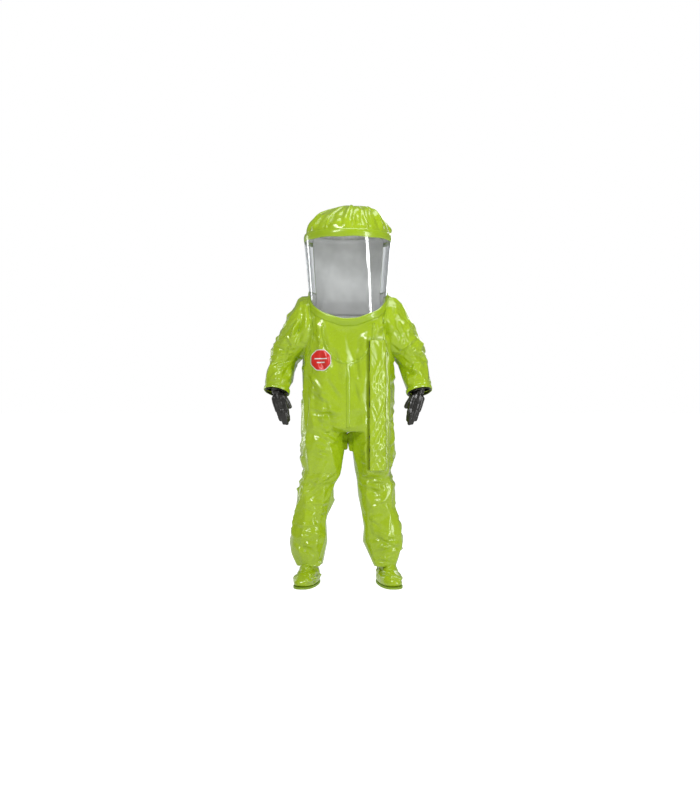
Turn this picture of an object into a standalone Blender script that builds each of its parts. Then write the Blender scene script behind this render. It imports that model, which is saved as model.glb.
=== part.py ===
"""Totally encapsulating chemical protective suit, standing upright.

Metres, +Z up. The wearer faces -Y, and the wearer's left is +X. The origin is on the
floor under the middle of the suit. Limbs are built for the left side and mirrored.
"""
import math

import bmesh
import bpy
from mathutils import Matrix, Vector

# ---------------------------------------------------------------- driving dimensions
GAP = 0.0005            # clearance between pieces that touch
WALL = 0.0020           # thickness of the laminate, with its seams and linings
TRIM = 0.0020           # thickness of a sewn-on trim
TRIM_GAP = 0.0010       # clearance under a trim that follows a curved panel
TAPE = 0.0012           # thickness of the centre seam's tape
TAPE_HALF_WIDTH = 0.010

# lengths that set the heights
ANKLE_Z = 0.096
SHIN_LENGTH = 0.419                 # ankle axis to knee axis
THIGH_LENGTH = 0.280                # knee axis to crotch
TORSO_LENGTH = 0.605                # crotch to shoulder axis
HOOD_DROP = 0.100                   # shoulder axis to the level part of the visor's lower edge
VISOR_HEIGHT = 0.255                # from there to the visor's top
CROWN_HEIGHT = 0.195

KNEE_Z = ANKLE_Z + SHIN_LENGTH
CROTCH_Z = KNEE_Z + THIGH_LENGTH
SHOULDER_Z = CROTCH_Z + TORSO_LENGTH
HOOD_BASE_Z = SHOULDER_Z + HOOD_DROP
VISOR_TOP_Z = HOOD_BASE_Z + VISOR_HEIGHT
CROWN_TOP_Z = VISOR_TOP_Z + CROWN_HEIGHT
WAIST_Z = CROTCH_Z + 0.205
CHEST_Z = SHOULDER_Z - 0.230

# body and hood, in plan
TORSO_HALF_WIDTH = 0.232
TORSO_FRONT_DEPTH = 0.162
TORSO_BACK_DEPTH = 0.195
SEAT_DEPTH = 0.150
NECK_HALF_WIDTH = 0.190
HOOD_RADIUS = 0.222
HOOD_BACK_DEPTH = 0.220

CROWN_GATHER = 0.012                # how far the crown's folds stand in and out, as a share

# visor and its trims
VISOR_THICKNESS = 0.0012
VISOR_WRAP = math.radians(125)      # half the angle that the visor wraps, from the front
VISOR_BOTTOM_Z = HOOD_BASE_Z - 0.155        # lowest point of the visor's lower edge, at the front
UPPER_TRIM_HEIGHT = 0.045
LOWER_TRIM_HEIGHT = 0.040
BIB_DROP = 0.195                    # height of the bib under the visor, at the front
BIB_HALF_ANGLE = math.radians(44)
BIB_REACH = math.radians(41.5)      # where the bib's corner stops, under the visor's trim

# closure: a flat, tilted strip in front of the left panel
CLOSURE_X = 0.1455
CLOSURE_TOP_Z = SHOULDER_Z - 0.155
CLOSURE_BOTTOM_Z = CROTCH_Z - 0.205
CLOSURE_TURN = math.radians(18)     # how far the strip faces outboard
CLOSURE_STAND = 0.0035              # between the strip and the fullest part of the panels
CLOSURE_EDGE_CLEARANCE = 0.0006     # between the strip's side edges and the panels
FACING_HALF_WIDTH = 0.048
FACING_THICKNESS = 0.0010
SLIT_WIDTH = 0.020                  # opening in the panels behind the zipper
CHAIN_WIDTH = 0.0080
CHAIN_THICKNESS = 0.0030
TOOTH_PITCH = 0.0200            # a group of teeth
SLIDER_LENGTH = 0.018
SLIDER_WALL = 0.0015
SLIDER_CLEARANCE = 0.0006
STOP_LENGTH = 0.010
ZIP_END_MARGIN = 0.020              # facing beyond the stops at each end
FLAP_THICKNESS = 0.0012
FLAP_HALF_WIDTH = 0.0435
FLAP_CLEARANCE = 0.0012             # over the pull, and between the two flaps
FLAP_SLOPE = 0.0065                 # width over which a flap climbs from its seam
HOOK_WIDTH = 0.0060
PULL_THICKNESS = 0.0010
PULL_LENGTH = 0.040

# chest patch
PATCH_X = -0.136
PATCH_Z = SHOULDER_Z - 0.256
PATCH_WIDTH = 0.110
PATCH_THICKNESS = 0.0012
PATCH_STAND = 0.0025

# exhaust valves
VALVE_ANGLE = math.radians(26)      # either side of the hood's back centre line
VALVE_Z = HOOD_BASE_Z + 0.130
VALVE_BORE_RADIUS = 0.0140
VALVE_TUBE_WALL = 0.0075
DIAPHRAGM_LAP = 0.0040              # diaphragm past the bore
VALVE_COVER_CLEARANCE = 0.0040      # round the diaphragm
VALVE_COVER_WALL = 0.0060
VALVE_FLANGE_LIP = 0.0040           # flange past the cover
VALVE_FLANGE_THICKNESS = 0.0035
VALVE_LIFT = 0.0020
DIAPHRAGM_THICKNESS = 0.0010
VALVE_BODY_RADIUS = VALVE_BORE_RADIUS + VALVE_TUBE_WALL
DIAPHRAGM_RADIUS = VALVE_BORE_RADIUS + DIAPHRAGM_LAP
VALVE_COVER_BORE = DIAPHRAGM_RADIUS + VALVE_COVER_CLEARANCE
VALVE_FLANGE_RADIUS = VALVE_COVER_BORE + VALVE_COVER_WALL + VALVE_FLANGE_LIP

# arms
SHOULDER_X = TORSO_HALF_WIDTH - 0.042
ARMHOLE_Z = SHOULDER_Z - 0.128
ARMHOLE_HALF_HEIGHT = 0.148
ARMHOLE_HALF_DEPTH = 0.120
ARMHOLE_CLEARANCE = 0.008
UPPER_ARM_LENGTH = 0.280
UPPER_ARM_SPREAD = math.radians(30.4)
UPPER_ARM_BACK = math.radians(4)
FOREARM_LENGTH = 0.190
FOREARM_SPREAD = math.radians(11)
FOREARM_FORWARD = math.radians(21.5)
SLEEVE_START = 0.164                # from the shoulder's axis to the upper sleeve
SLEEVE_TOP_RADIUS = 0.100
GUSSET_BULGE = 0.06                 # how far the shoulder fabric stands out, as a share
SLEEVE_ELBOW_RADIUS = 0.072
ELBOW_FOLD_RADIUS = 0.080
ELBOW_FOLD_HALF = 0.072             # soft length on each side of the elbow's axis
FOREARM_TAPER = 0.0070              # how much wider than the cuff the forearm starts
CUFF_RADIUS = 0.063
FOREARM_RADIUS = CUFF_RADIUS + FOREARM_TAPER
CUFF_HEM_LENGTH = 0.018
CUFF_RING_THICKNESS = 0.0040
CUFF_RING_LENGTH = 0.030
GAUNTLET_WALL = 0.0015
GAUNTLET_LENGTH = 0.034
GAUNTLET_STAND_OUT = 0.005          # past the sleeve's end
WRIST_CLEARANCE = 0.012             # between the gauntlet's cup and the wrist

# gloves
HAND_LENGTH = 0.190                 # wrist to the tip of the longest finger
HAND_LEAN = math.radians(18)        # the hand hangs back towards the body
HAND_FORWARD = math.radians(9)
HAND_HALF_WIDTH = 0.0400
HAND_HALF_DEPTH = 0.0190
WRIST_HALF_WIDTH = 0.0300
WRIST_HALF_DEPTH = 0.0240
PALM_LENGTH = 0.108
FINGER_RADIUS = 0.0098
FINGER_GAP = 0.0012
THUMB_LENGTH = 0.060
THUMB_RADIUS = 0.0125
GLOVE_WALL = 0.0016

# legs
LEG_GAP = 0.008                     # between the two legs at the crotch
HIP_X = (TORSO_HALF_WIDTH + 0.005 + LEG_GAP / 2) / 2
KNEE_X = 0.155
ANKLE_X = 0.198
THIGH_TOP_HALF_WIDTH = HIP_X - LEG_GAP / 2
THIGH_HALF_WIDTH = THIGH_TOP_HALF_WIDTH - 0.003
KNEE_HALF_WIDTH = 0.0895
KNEE_HALF_DEPTH = 0.085
KNEE_FOLD_HALF = 0.058              # soft length above and below the knee's axis
SHIN_HALF_WIDTH = 0.0850
SHIN_HALF_DEPTH = 0.0820
BOOTIE_NECK_RADIUS = 0.0480
BOOTIE_NECK_TOP_Z = ANKLE_Z + 0.056
ANKLE_CLEARANCE = 0.018             # between the bootie's neck and the leg around it
SHIN_END_RADIUS = BOOTIE_NECK_RADIUS + ANKLE_CLEARANCE + WALL
SHIN_END_Z = ANKLE_Z + 0.022
BOOT_FLAP_TOP_Z = ANKLE_Z + 0.169
BOOT_FLAP_BOTTOM_Z = ANKLE_Z + 0.032
BOOT_FLAP_FLARE = 0.016             # how far the flap's edge stands off the shin
BOOT_FLAP_CLEARANCE = 0.003

# booties
FOOT_LENGTH = 0.285
FOOT_HEEL = 0.095                   # from the ankle's axis back to the heel
FOOT_HALF_WIDTH = 0.0610
FOOT_HEIGHT = ANKLE_Z - 0.008
FOOT_SPLAY = math.radians(12)
SOLE_THICKNESS = 0.010

ROUND = 16                          # sides of a limb
SIDES = (("left", 1.0), ("right", -1.0))

BODY_PIVOTS = {}                    # joint origin of each moving body, filled below


# ---------------------------------------------------------------- scene helpers
def clear_scene():
    for thing in list(bpy.data.objects):
        bpy.data.objects.remove(thing, do_unlink=True)


def material(name, color, roughness, metallic=0.0, alpha=1.0):
    made = bpy.data.materials.get(name)
    if made:
        return made
    made = bpy.data.materials.new(name)
    made.use_nodes = True
    shader = made.node_tree.nodes["Principled BSDF"]
    shader.inputs["Base Color"].default_value = (*color, 1.0)
    shader.inputs["Roughness"].default_value = roughness
    shader.inputs["Metallic"].default_value = metallic
    shader.inputs["Alpha"].default_value = alpha
    made.diffuse_color = (*color, alpha)
    return made


def laminate():
    return material("lime_laminate", (0.42, 0.60, 0.045), 0.25)


def trim_tape():
    return material("lime_trim", (0.36, 0.54, 0.03), 0.28)


def clear_sheet():
    return material("clear_visor", (0.92, 0.94, 0.95), 0.05, alpha=0.3)


def black_rubber():
    return material("black_rubber", (0.015, 0.014, 0.012), 0.35)


def black_plastic():
    return material("black_plastic", (0.02, 0.02, 0.02), 0.45)


def zipper_cloth():
    return material("zipper_cloth", (0.05, 0.06, 0.04), 0.8)


def sole_rubber():
    return material("sole_rubber", (0.30, 0.45, 0.03), 0.6)


def patch_red():
    return material("patch_red", (0.70, 0.02, 0.006), 0.4)


def pivot_of(body):
    """Make, once, the empty on a moving body's joint axis."""
    name = "joint_" + body
    made = bpy.data.objects.get(name)
    if made is None:
        made = bpy.data.objects.new(name, None)
        made.empty_display_size = 0.03
        made.location = BODY_PIVOTS[body]
        bpy.context.scene.collection.objects.link(made)
    return made


def add_object(name, verts, faces, look, body=None, side=1.0):
    """Make a closed mesh object. side -1 mirrors it to the right of the suit."""
    shift = BODY_PIVOTS[body] if body else Vector((0, 0, 0))
    mesh = bpy.data.meshes.new(name)
    placed = [Vector((v[0] * side, v[1], v[2])) - shift for v in verts]
    mesh.from_pydata([tuple(v) for v in placed], [], faces)
    work = bmesh.new()
    work.from_mesh(mesh)
    bmesh.ops.recalc_face_normals(work, faces=work.faces)
    work.to_mesh(mesh)
    work.free()
    mesh.materials.append(look)
    mesh.shade_smooth()
    mesh.set_sharp_from_angle(angle=math.radians(40))
    made = bpy.data.objects.new(name, mesh)
    bpy.context.scene.collection.objects.link(made)
    if body:
        made.parent = pivot_of(body)
    return made


def boolean(target, tool, operation):
    tool.hide_render = True
    tool.display_type = "WIRE"
    cut = target.modifiers.new(tool.name, "BOOLEAN")
    cut.operation = operation
    cut.solver = "EXACT"
    cut.object = tool


# ---------------------------------------------------------------- shape helpers
def blend(a, b, t):
    return a + (b - a) * t


def from_table(table, z):
    """Read a row of a height table, with straight runs between its rows."""
    if z <= table[0][0]:
        return table[0][1:]
    for low, high in zip(table, table[1:]):
        if z <= high[0]:
            t = (z - low[0]) / (high[0] - low[0])
            return tuple(blend(p, q, t) for p, q in zip(low[1:], high[1:]))
    return table[-1][1:]


def torso_table():
    """Rows of height, half width, front depth, back depth and squareness."""
    return (
        (CROTCH_Z, TORSO_HALF_WIDTH + 0.003, SEAT_DEPTH, SEAT_DEPTH, 3.0),
        (WAIST_Z, TORSO_HALF_WIDTH, SEAT_DEPTH + 0.008, SEAT_DEPTH + 0.022, 3.1),
        (CHEST_Z, TORSO_HALF_WIDTH, TORSO_FRONT_DEPTH, TORSO_BACK_DEPTH, 3.1),
        (SHOULDER_Z - 0.10, TORSO_HALF_WIDTH - 0.014, TORSO_FRONT_DEPTH + 0.008,
         TORSO_BACK_DEPTH + 0.008, 2.8),
        (HOOD_BASE_Z, NECK_HALF_WIDTH, NECK_HALF_WIDTH, TORSO_BACK_DEPTH + 0.010, 2.1),
        (VISOR_TOP_Z + UPPER_TRIM_HEIGHT, HOOD_RADIUS + 0.004, HOOD_RADIUS, HOOD_BACK_DEPTH + 0.002, 2.0),
    )


def skin(angle, z, offset=0.0):
    """Point on the body at an angle from the front, a height and a distance outside."""
    half_width, front, back, square = from_table(torso_table(), z)
    across, ahead = math.sin(angle), math.cos(angle)
    depth = front if ahead > 0 else back
    reach = (abs(across / half_width) ** square + abs(ahead / depth) ** square) ** (-1 / square)
    return Vector((across * (reach + offset), -ahead * (reach + offset), z))


def skin_angle(x, z):
    """Angle at which the front of the body reaches a distance x from its middle."""
    low, high = 0.0, math.pi / 2
    for _ in range(30):
        middle = (low + high) / 2
        if skin(middle, z).x < x:
            low = middle
        else:
            high = middle
    return low


def sheet_solid(outer, inner, closed):
    """Solid between two equal grids of points, cut into matching triangles.

    closed joins the last column to the first, which makes an open-ended tube.
    """
    rows, columns = len(outer), len(outer[0])
    verts = [p for row in outer for p in row] + [p for row in inner for p in row]
    lining = rows * columns
    steps = columns if closed else columns - 1

    def at(row, column):
        return row * columns + column % columns

    faces = []
    for r in range(rows - 1):
        for c in range(steps):
            a, b, d, e = at(r, c), at(r, c + 1), at(r + 1, c + 1), at(r + 1, c)
            for face in ((a, b, d), (a, d, e)):
                faces.append(face)
                faces.append(tuple(lining + i for i in reversed(face)))
    for c in range(steps):
        for r in (0, rows - 1):
            faces.append((at(r, c), at(r, c + 1), lining + at(r, c + 1), lining + at(r, c)))
    if not closed:
        for r in range(rows - 1):
            for c in (0, columns - 1):
                faces.append((at(r, c), at(r + 1, c), lining + at(r + 1, c), lining + at(r, c)))
    return verts, faces


def patch(angles, low, high, rows, outside, thickness, crease=None):
    """Sheet that follows the body between two heights, each a function of the angle.

    With a crease, two rows run up to that height and the rest go on from it.
    """
    def height(angle, row):
        if crease is None:
            return blend(low(angle), high(angle), row / rows)
        if row <= 2:
            return blend(low(angle), crease, row / 2)
        return blend(crease, high(angle), (row - 2) / (rows - 2))

    grids = []
    for offset in (outside, outside - thickness):
        grids.append([[skin(a, height(a, r), offset) for a in angles] for r in range(rows + 1)])
    return sheet_solid(*grids, closed=False)


def band(low, high, rows, outside, thickness):
    """Closed band all the way round the body."""
    grids = []
    for offset in (outside, outside - thickness):
        heights = spread(low, high, rows)
        grids.append([[skin(a, z, offset) for a in ring_angles()] for z in heights])
    return sheet_solid(*grids, closed=True)


def solid_loft(rings):
    """Closed solid through a stack of rings, with flat ends."""
    count = len(rings[0])
    verts = [p for ring in rings for p in ring]
    faces = [tuple(range(count)), tuple((len(rings) - 1) * count + i for i in reversed(range(count)))]
    for r in range(len(rings) - 1):
        for i in range(count):
            j = (i + 1) % count
            faces.append((r * count + i, r * count + j, (r + 1) * count + j, (r + 1) * count + i))
    return verts, faces


def ring(centre, first, second, half_first, half_second, count=ROUND, square=2.0):
    """Superellipse round a centre, in the plane of two unit vectors."""
    points = []
    for i in range(count):
        turn = 2 * math.pi * i / count
        c, s = math.cos(turn), math.sin(turn)
        p = math.copysign(abs(c) ** (2 / square), c)
        q = math.copysign(abs(s) ** (2 / square), s)
        points.append(centre + first * (half_first * p) + second * (half_second * q))
    return points


def frame_along(direction):
    """Unit vectors across a direction: one near +Y, the other outward and up."""
    ahead = direction.normalized()
    first = (Vector((0, 1, 0)) - ahead * ahead.y).normalized()
    second = ahead.cross(first).normalized()
    return ahead, first, second


def limb_shell(stations, wall, square=2.0):
    """Tube along stations of (centre, direction, half depth, half width)."""
    outer, inner = [], []
    for centre, direction, half_depth, half_width in stations:
        _, first, second = frame_along(direction)
        outer.append(ring(centre, first, second, half_depth, half_width, ROUND, square))
        inner.append(ring(centre, first, second, half_depth - wall, half_width - wall, ROUND, square))
    return sheet_solid(outer, inner, closed=True)


def turned(profile, centre, axis, count=18):
    """Turn a closed profile of (radius, height) pairs round an axis."""
    axis = axis.normalized()
    first = axis.orthogonal().normalized()
    second = axis.cross(first)
    verts = []
    for radius, height in profile:
        for i in range(count):
            turn = 2 * math.pi * i / count
            out = first * (radius * math.cos(turn)) + second * (radius * math.sin(turn))
            verts.append(centre + axis * height + out)
    faces = []
    for r in range(len(profile)):
        following = (r + 1) % len(profile)
        for i in range(count):
            j = (i + 1) % count
            faces.append((r * count + i, r * count + j, following * count + j, following * count + i))
    return verts, faces


def disc(radius, low, high, centre, axis, count=18):
    axis = axis.normalized()
    first = axis.orthogonal().normalized()
    second = axis.cross(first)
    rings = [ring(centre + axis * h, first, second, radius, radius, count) for h in (low, high)]
    return solid_loft(rings)


# ---------------------------------------------------------------- hood and body
def visor_edge(angle):
    """Height of the visor's lower edge: a plane cut at the front, level at the sides."""
    turn = min(abs(angle), math.pi / 2)
    return blend(VISOR_BOTTOM_Z, HOOD_BASE_Z, 1 - math.cos(turn))


def bib_edge(angle):
    """Height of the bib's lower edge, a half ellipse under the visor."""
    top = visor_edge(BIB_HALF_ANGLE) - LOWER_TRIM_HEIGHT
    low = VISOR_BOTTOM_Z - LOWER_TRIM_HEIGHT / 2 - BIB_DROP
    t = min(1.0, abs(angle) / BIB_HALF_ANGLE)
    return blend(low, top, 1 - math.sqrt(1 - t * t))


def spread(start, end, count):
    return [blend(start, end, i / count) for i in range(count + 1)]


def front_angles():
    """Angles shared by everything that meets along the visor's lower edge, front to side."""
    return spread(0, BIB_REACH, 5) + spread(BIB_HALF_ANGLE, math.pi / 2, 5)


def rear_angles():
    """Angles shared from the side seam past the visor's edge to the middle of the back."""
    return spread(math.pi / 2, VISOR_WRAP, 4) + spread(VISOR_WRAP, math.pi, 5)[1:]


def ring_angles():
    """All the shared angles, once round."""
    half = front_angles() + rear_angles()[1:]
    return half + [2 * math.pi - a for a in reversed(half[1:-1])]


def round_the_back(angles):
    return angles + [2 * math.pi - a for a in reversed(angles[:-1])]


def mirrored(angles):
    return [-a for a in reversed(angles[1:])] + angles


def panel_top(angle):
    if abs(angle) < BIB_HALF_ANGLE:
        return bib_edge(angle) - GAP
    return visor_edge(angle) - LOWER_TRIM_HEIGHT / 2 - GAP


def make_hood():
    seam_z = VISOR_TOP_Z + UPPER_TRIM_HEIGHT / 2
    sheet = mirrored(front_angles() + rear_angles()[1:5])

    def visor_low(angle):
        return visor_edge(angle) - LOWER_TRIM_HEIGHT / 2 + GAP

    made = patch(sheet, visor_low, lambda a: seam_z - GAP, 5, 0.0, VISOR_THICKNESS, HOOD_BASE_Z)
    add_object("visor", *made, clear_sheet())

    made = patch(sheet, lambda a: visor_edge(a) - LOWER_TRIM_HEIGHT, visor_edge, 2, TRIM_GAP + TRIM, TRIM)
    add_object("visor_lower_trim", *made, trim_tape())

    made = band(VISOR_TOP_Z, VISOR_TOP_Z + UPPER_TRIM_HEIGHT, 2, TRIM_GAP + TRIM, TRIM)
    add_object("visor_upper_trim", *made, trim_tape())

    edge_gap = GAP / HOOD_BACK_DEPTH
    behind = round_the_back([VISOR_WRAP + edge_gap] + rear_angles()[5:])
    low = HOOD_BASE_Z - LOWER_TRIM_HEIGHT / 2 + GAP
    made = patch(behind, lambda a: low, lambda a: seam_z - GAP, 4, 0.0, WALL, HOOD_BASE_Z)
    back = add_object("hood_back", *made, laminate())

    add_object("hood_crown", *crown(seam_z + GAP), laminate())
    return back


def crown(start_z):
    """Gathered dome: an outer and an inner cap joined at the rim."""
    angles, steps = ring_angles(), 6
    count = len(angles)
    stack = []
    for inset in (0.0, WALL):
        top = CROWN_TOP_Z - inset
        for k in range(steps):
            quarter = math.pi / 2 * k / steps
            z = blend(start_z, top, math.sin(quarter))
            shrink = math.cos(quarter) ** 0.72
            loop = []
            for i, turn in enumerate(angles):
                rim = skin(turn, start_z, -inset)
                gather = 1 + CROWN_GATHER * (-1) ** i * k / steps
                loop.append(Vector((rim.x * shrink * gather, rim.y * shrink * gather, z)))
            stack.append(loop)
    stack = list(reversed(stack[:steps])) + stack[steps:]
    verts = [p for loop in stack for p in loop]
    verts += [Vector((0, 0, CROWN_TOP_Z)), Vector((0, 0, CROWN_TOP_Z - WALL))]
    peak, roof = len(verts) - 2, len(verts) - 1
    faces = []
    for r in range(len(stack) - 1):
        for i in range(count):
            j = (i + 1) % count
            faces.append((r * count + i, r * count + j, (r + 1) * count + j, (r + 1) * count + i))
    last = (len(stack) - 1) * count
    for i in range(count):
        j = (i + 1) % count
        faces.append((j, i, peak))
        faces.append((last + i, last + j, roof))
    return verts, faces


def armhole_cutter(name, side):
    """Elliptic prism along X that opens the panels for a sleeve."""
    half_height = ARMHOLE_HALF_HEIGHT + ARMHOLE_CLEARANCE
    half_depth = ARMHOLE_HALF_DEPTH + ARMHOLE_CLEARANCE
    rings = []
    for x in (SHOULDER_X - 0.09, TORSO_HALF_WIDTH + 0.08):
        centre = Vector((x, 0, ARMHOLE_Z))
        rings.append(ring(centre, Vector((0, 1, 0)), Vector((0, 0, 1)), half_depth, half_height, 24))
    made = add_object(name, *solid_loft(rings), laminate(), None, side)
    return made


def make_body():
    cutters = [armhole_cutter("armhole_cut_" + word, side) for word, side in SIDES]
    slit = slit_cutter()
    edge = GAP / TORSO_HALF_WIDTH
    seam_gap = GAP / TORSO_FRONT_DEPTH
    bottom = CROTCH_Z + GAP

    fronts = []
    for word, side in SIDES:
        angles = [seam_gap] + front_angles()[1:-1] + [math.pi / 2 - edge]
        verts, faces = patch(angles, lambda a: bottom, panel_top, 7, 0.0, WALL)
        front = add_object("front_panel_" + word, verts, faces, laminate(), None, side)
        boolean(front, cutters[0] if side > 0 else cutters[1], "DIFFERENCE")
        fronts.append(front)
    boolean(fronts[0], slit, "DIFFERENCE")

    angles = round_the_back([math.pi / 2 + edge] + rear_angles()[1:])
    back_top = HOOD_BASE_Z - LOWER_TRIM_HEIGHT / 2 - GAP
    made = patch(angles, lambda a: bottom, lambda a: back_top, 7, 0.0, WALL)
    back = add_object("back_panel", *made, laminate())
    for cutter in cutters:
        boolean(back, cutter, "DIFFERENCE")

    made = patch(mirrored(spread(0, BIB_REACH, 5)), lambda a: bib_edge(a) + GAP,
                 lambda a: visor_edge(a) - LOWER_TRIM_HEIGHT / 2 - GAP, 3, 0.0, WALL)
    add_object("bib_panel", *made, laminate())

    half = TAPE_HALF_WIDTH / TORSO_FRONT_DEPTH
    tape_top = bib_edge(0) - GAP
    made = patch(spread(-half, half, 2), lambda a: bottom, lambda a: tape_top, 7, TRIM_GAP + TAPE, TAPE)
    add_object("centre_seam_tape", *made, trim_tape())
    make_patch()


def skin_frame(angle, z):
    """Point on the body with unit vectors along it, up it and out of it."""
    across = (skin(angle + 0.02, z) - skin(angle - 0.02, z)).normalized()
    up = (skin(angle, z + 0.01) - skin(angle, z - 0.01)).normalized()
    out = across.cross(up).normalized()
    point = skin(angle, z)
    if out.dot(Vector((point.x, point.y, 0))) < 0:
        out = -out
    return point, across, up, out


def make_patch():
    """Plain octagon lying against the right chest."""
    point, across, up, out = skin_frame(-skin_angle(-PATCH_X, PATCH_Z), PATCH_Z)
    radius = PATCH_WIDTH / 2 / math.cos(math.pi / 8)
    rings = []
    for depth in (PATCH_STAND, PATCH_STAND + PATCH_THICKNESS):
        loop = []
        for i in range(8):
            angle = math.pi / 8 + math.pi / 4 * i
            beside = across * (radius * math.cos(angle))
            loop.append(point + beside + up * (radius * math.sin(angle)) + out * depth)
        rings.append(loop)
    add_object("chest_patch", *solid_loft(rings), patch_red())


# ---------------------------------------------------------------- exhaust valves
def valve_axis(side):
    surface, _, _, out = skin_frame(math.pi - VALVE_ANGLE, VALVE_Z)
    return Vector((surface.x * side, surface.y, surface.z)), Vector((out.x * side, out.y, out.z))


def make_valves(hood_back):
    """The disc's edge drops below the curved panel, so the flange starts just clear of it."""
    seat = VALVE_FLANGE_RADIUS ** 2 / (2 * HOOD_BACK_DEPTH) * 0.25 + GAP
    face = seat + VALVE_FLANGE_THICKNESS
    rest = face + GAP
    for word, side in SIDES:
        centre, out = valve_axis(side)
        hole = add_object("valve_cut_" + word, *disc(VALVE_BODY_RADIUS + GAP, -0.03, 0.03, centre, out),
                          laminate())
        boolean(hood_back, hole, "DIFFERENCE")

        profile = [
            (VALVE_BORE_RADIUS, -0.010), (VALVE_BODY_RADIUS, -0.010), (VALVE_BODY_RADIUS, seat),
            (VALVE_FLANGE_RADIUS, seat), (VALVE_FLANGE_RADIUS, face), (VALVE_BORE_RADIUS, face),
        ]
        add_object("valve_housing_" + word, *turned(profile, centre, out), black_plastic())

        made = disc(DIAPHRAGM_RADIUS, rest, rest + DIAPHRAGM_THICKNESS, centre, out)
        add_object("valve_diaphragm_" + word, *made, black_rubber(), "diaphragm_" + word)

        roof = rest + DIAPHRAGM_THICKNESS + VALVE_LIFT + 0.0015
        outer = VALVE_COVER_BORE + VALVE_COVER_WALL
        profile = [(VALVE_COVER_BORE, rest), (outer, rest), (outer, roof + 0.002), (0.006, roof + 0.002),
                   (0.006, roof), (VALVE_COVER_BORE, roof)]
        add_object("valve_cover_" + word, *turned(profile, centre, out), black_plastic())


# ---------------------------------------------------------------- closure
def front_depth(x, z):
    """How far the front of the body stands ahead of its middle at a distance x from it."""
    return -skin(skin_angle(x, z), z).y


def edge_stand(low, top):
    """Stand that keeps both side edges of the strip clear of the panels."""
    stand = 0.0
    for z in spread(CROTCH_Z, CLOSURE_TOP_Z, 12):
        chord = blend(low, top, (z - CROTCH_Z) / (CLOSURE_TOP_Z - CROTCH_Z))
        for across in (-FACING_HALF_WIDTH, FACING_HALF_WIDTH):
            edge = chord - across * math.sin(CLOSURE_TURN)
            depth = front_depth(CLOSURE_X + across * math.cos(CLOSURE_TURN), z)
            stand = max(stand, depth - edge + CLOSURE_EDGE_CLEARANCE)
    return stand


def closure_ends():
    """Ends of the closure's line: straight, and clear of the fullest part of the torso."""
    top, low = front_depth(CLOSURE_X, CLOSURE_TOP_Z), front_depth(CLOSURE_X, CROTCH_Z)
    fullest = 0.0
    for z in spread(CROTCH_Z, CLOSURE_TOP_Z, 12):
        chord = blend(low, top, (z - CROTCH_Z) / (CLOSURE_TOP_Z - CROTCH_Z))
        fullest = max(fullest, front_depth(CLOSURE_X, z) - chord)
    stand = max(fullest + CLOSURE_STAND, edge_stand(low, top))
    end = blend(low, top, (CLOSURE_BOTTOM_Z - CROTCH_Z) / (CLOSURE_TOP_Z - CROTCH_Z))
    return (Vector((CLOSURE_X, -top - stand, CLOSURE_TOP_Z)),
            Vector((CLOSURE_X, -end - stand, CLOSURE_BOTTOM_Z)))


def closure_frame():
    """Start of the closure, and its axes: along it (down), across it (outboard) and out of it."""
    top, bottom = closure_ends()
    along = (bottom - top).normalized()
    across = Vector((math.cos(CLOSURE_TURN), math.sin(CLOSURE_TURN), 0))
    across = (across - along * across.dot(along)).normalized()
    out = across.cross(along).normalized()
    if out.y > 0:
        out = -out
    return top, along, across, out


def closure_point(along, across, out):
    top, a, b, c = closure_frame()
    return top + a * along + b * across + c * out


def closure_length():
    top, bottom = closure_ends()
    return (bottom - top).length


def closure_bar(outline, start, end):
    """Extrude an outline of (across, out) pairs along the closure."""
    rings = [[closure_point(s, u, w) for u, w in outline] for s in (start, end)]
    return solid_loft(rings)


def strip(low_u, high_u, low_w, high_w):
    return [(low_u, low_w), (high_u, low_w), (high_u, high_w), (low_u, high_w)]


def hat(profile, thickness):
    """Give a line of (across, out) points a thickness, towards the body."""
    under = [(u, w - thickness) for u, w in reversed(profile)]
    return profile + under


def slit_cutter():
    half = SLIT_WIDTH / 2
    outline = strip(-half, half, -0.09, 0.02)
    margin = ZIP_END_MARGIN + STOP_LENGTH
    made = closure_bar(outline, margin, closure_length() - margin)
    return add_object("closure_slit_cut", *made, laminate())


def chain_outline():
    """Zipper chain seen from the front, with a notch between each pair of teeth."""
    start = ZIP_END_MARGIN + STOP_LENGTH + GAP
    end = closure_length() - start
    teeth = int((end - start) / TOOTH_PITCH)
    pitch = (end - start) / teeth
    half, notch = CHAIN_WIDTH / 2, CHAIN_WIDTH / 2 - 0.0012
    right, left = [], []
    for i in range(teeth):
        base = start + i * pitch
        for offset, width in ((0.0, half), (0.62, half), (0.62, notch), (1.0, notch)):
            right.append((base + offset * pitch, width))
            left.append((base + offset * pitch, -width))
    return right + list(reversed(left))


def chain_levels():
    low = FACING_THICKNESS + 0.0003
    return low, low + CHAIN_THICKNESS


def make_closure():
    length = closure_length()
    tape_gap = 0.0008
    facing = (0.0, FACING_THICKNESS)
    made = closure_bar(strip(-FACING_HALF_WIDTH, -tape_gap, *facing), 0, length)
    add_object("zipper_tape_inboard", *made, zipper_cloth())
    made = closure_bar(strip(tape_gap, FACING_HALF_WIDTH, *facing), 0, length)
    add_object("zipper_tape_outboard", *made, zipper_cloth())

    low, high = chain_levels()
    rings = [[closure_point(s, u, w) for s, u in chain_outline()] for w in (low, high)]
    add_object("zipper_chain", *solid_loft(rings), black_plastic())

    block = strip(-CHAIN_WIDTH / 2 - 0.001, CHAIN_WIDTH / 2 + 0.001, low, high)
    add_object("zipper_top_stop", *closure_bar(block, ZIP_END_MARGIN, ZIP_END_MARGIN + STOP_LENGTH - GAP),
               black_plastic())
    foot = length - ZIP_END_MARGIN
    add_object("zipper_bottom_stop", *closure_bar(block, foot - STOP_LENGTH + GAP, foot), black_plastic())

    make_slider(low, high)
    make_flaps(length)


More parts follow.
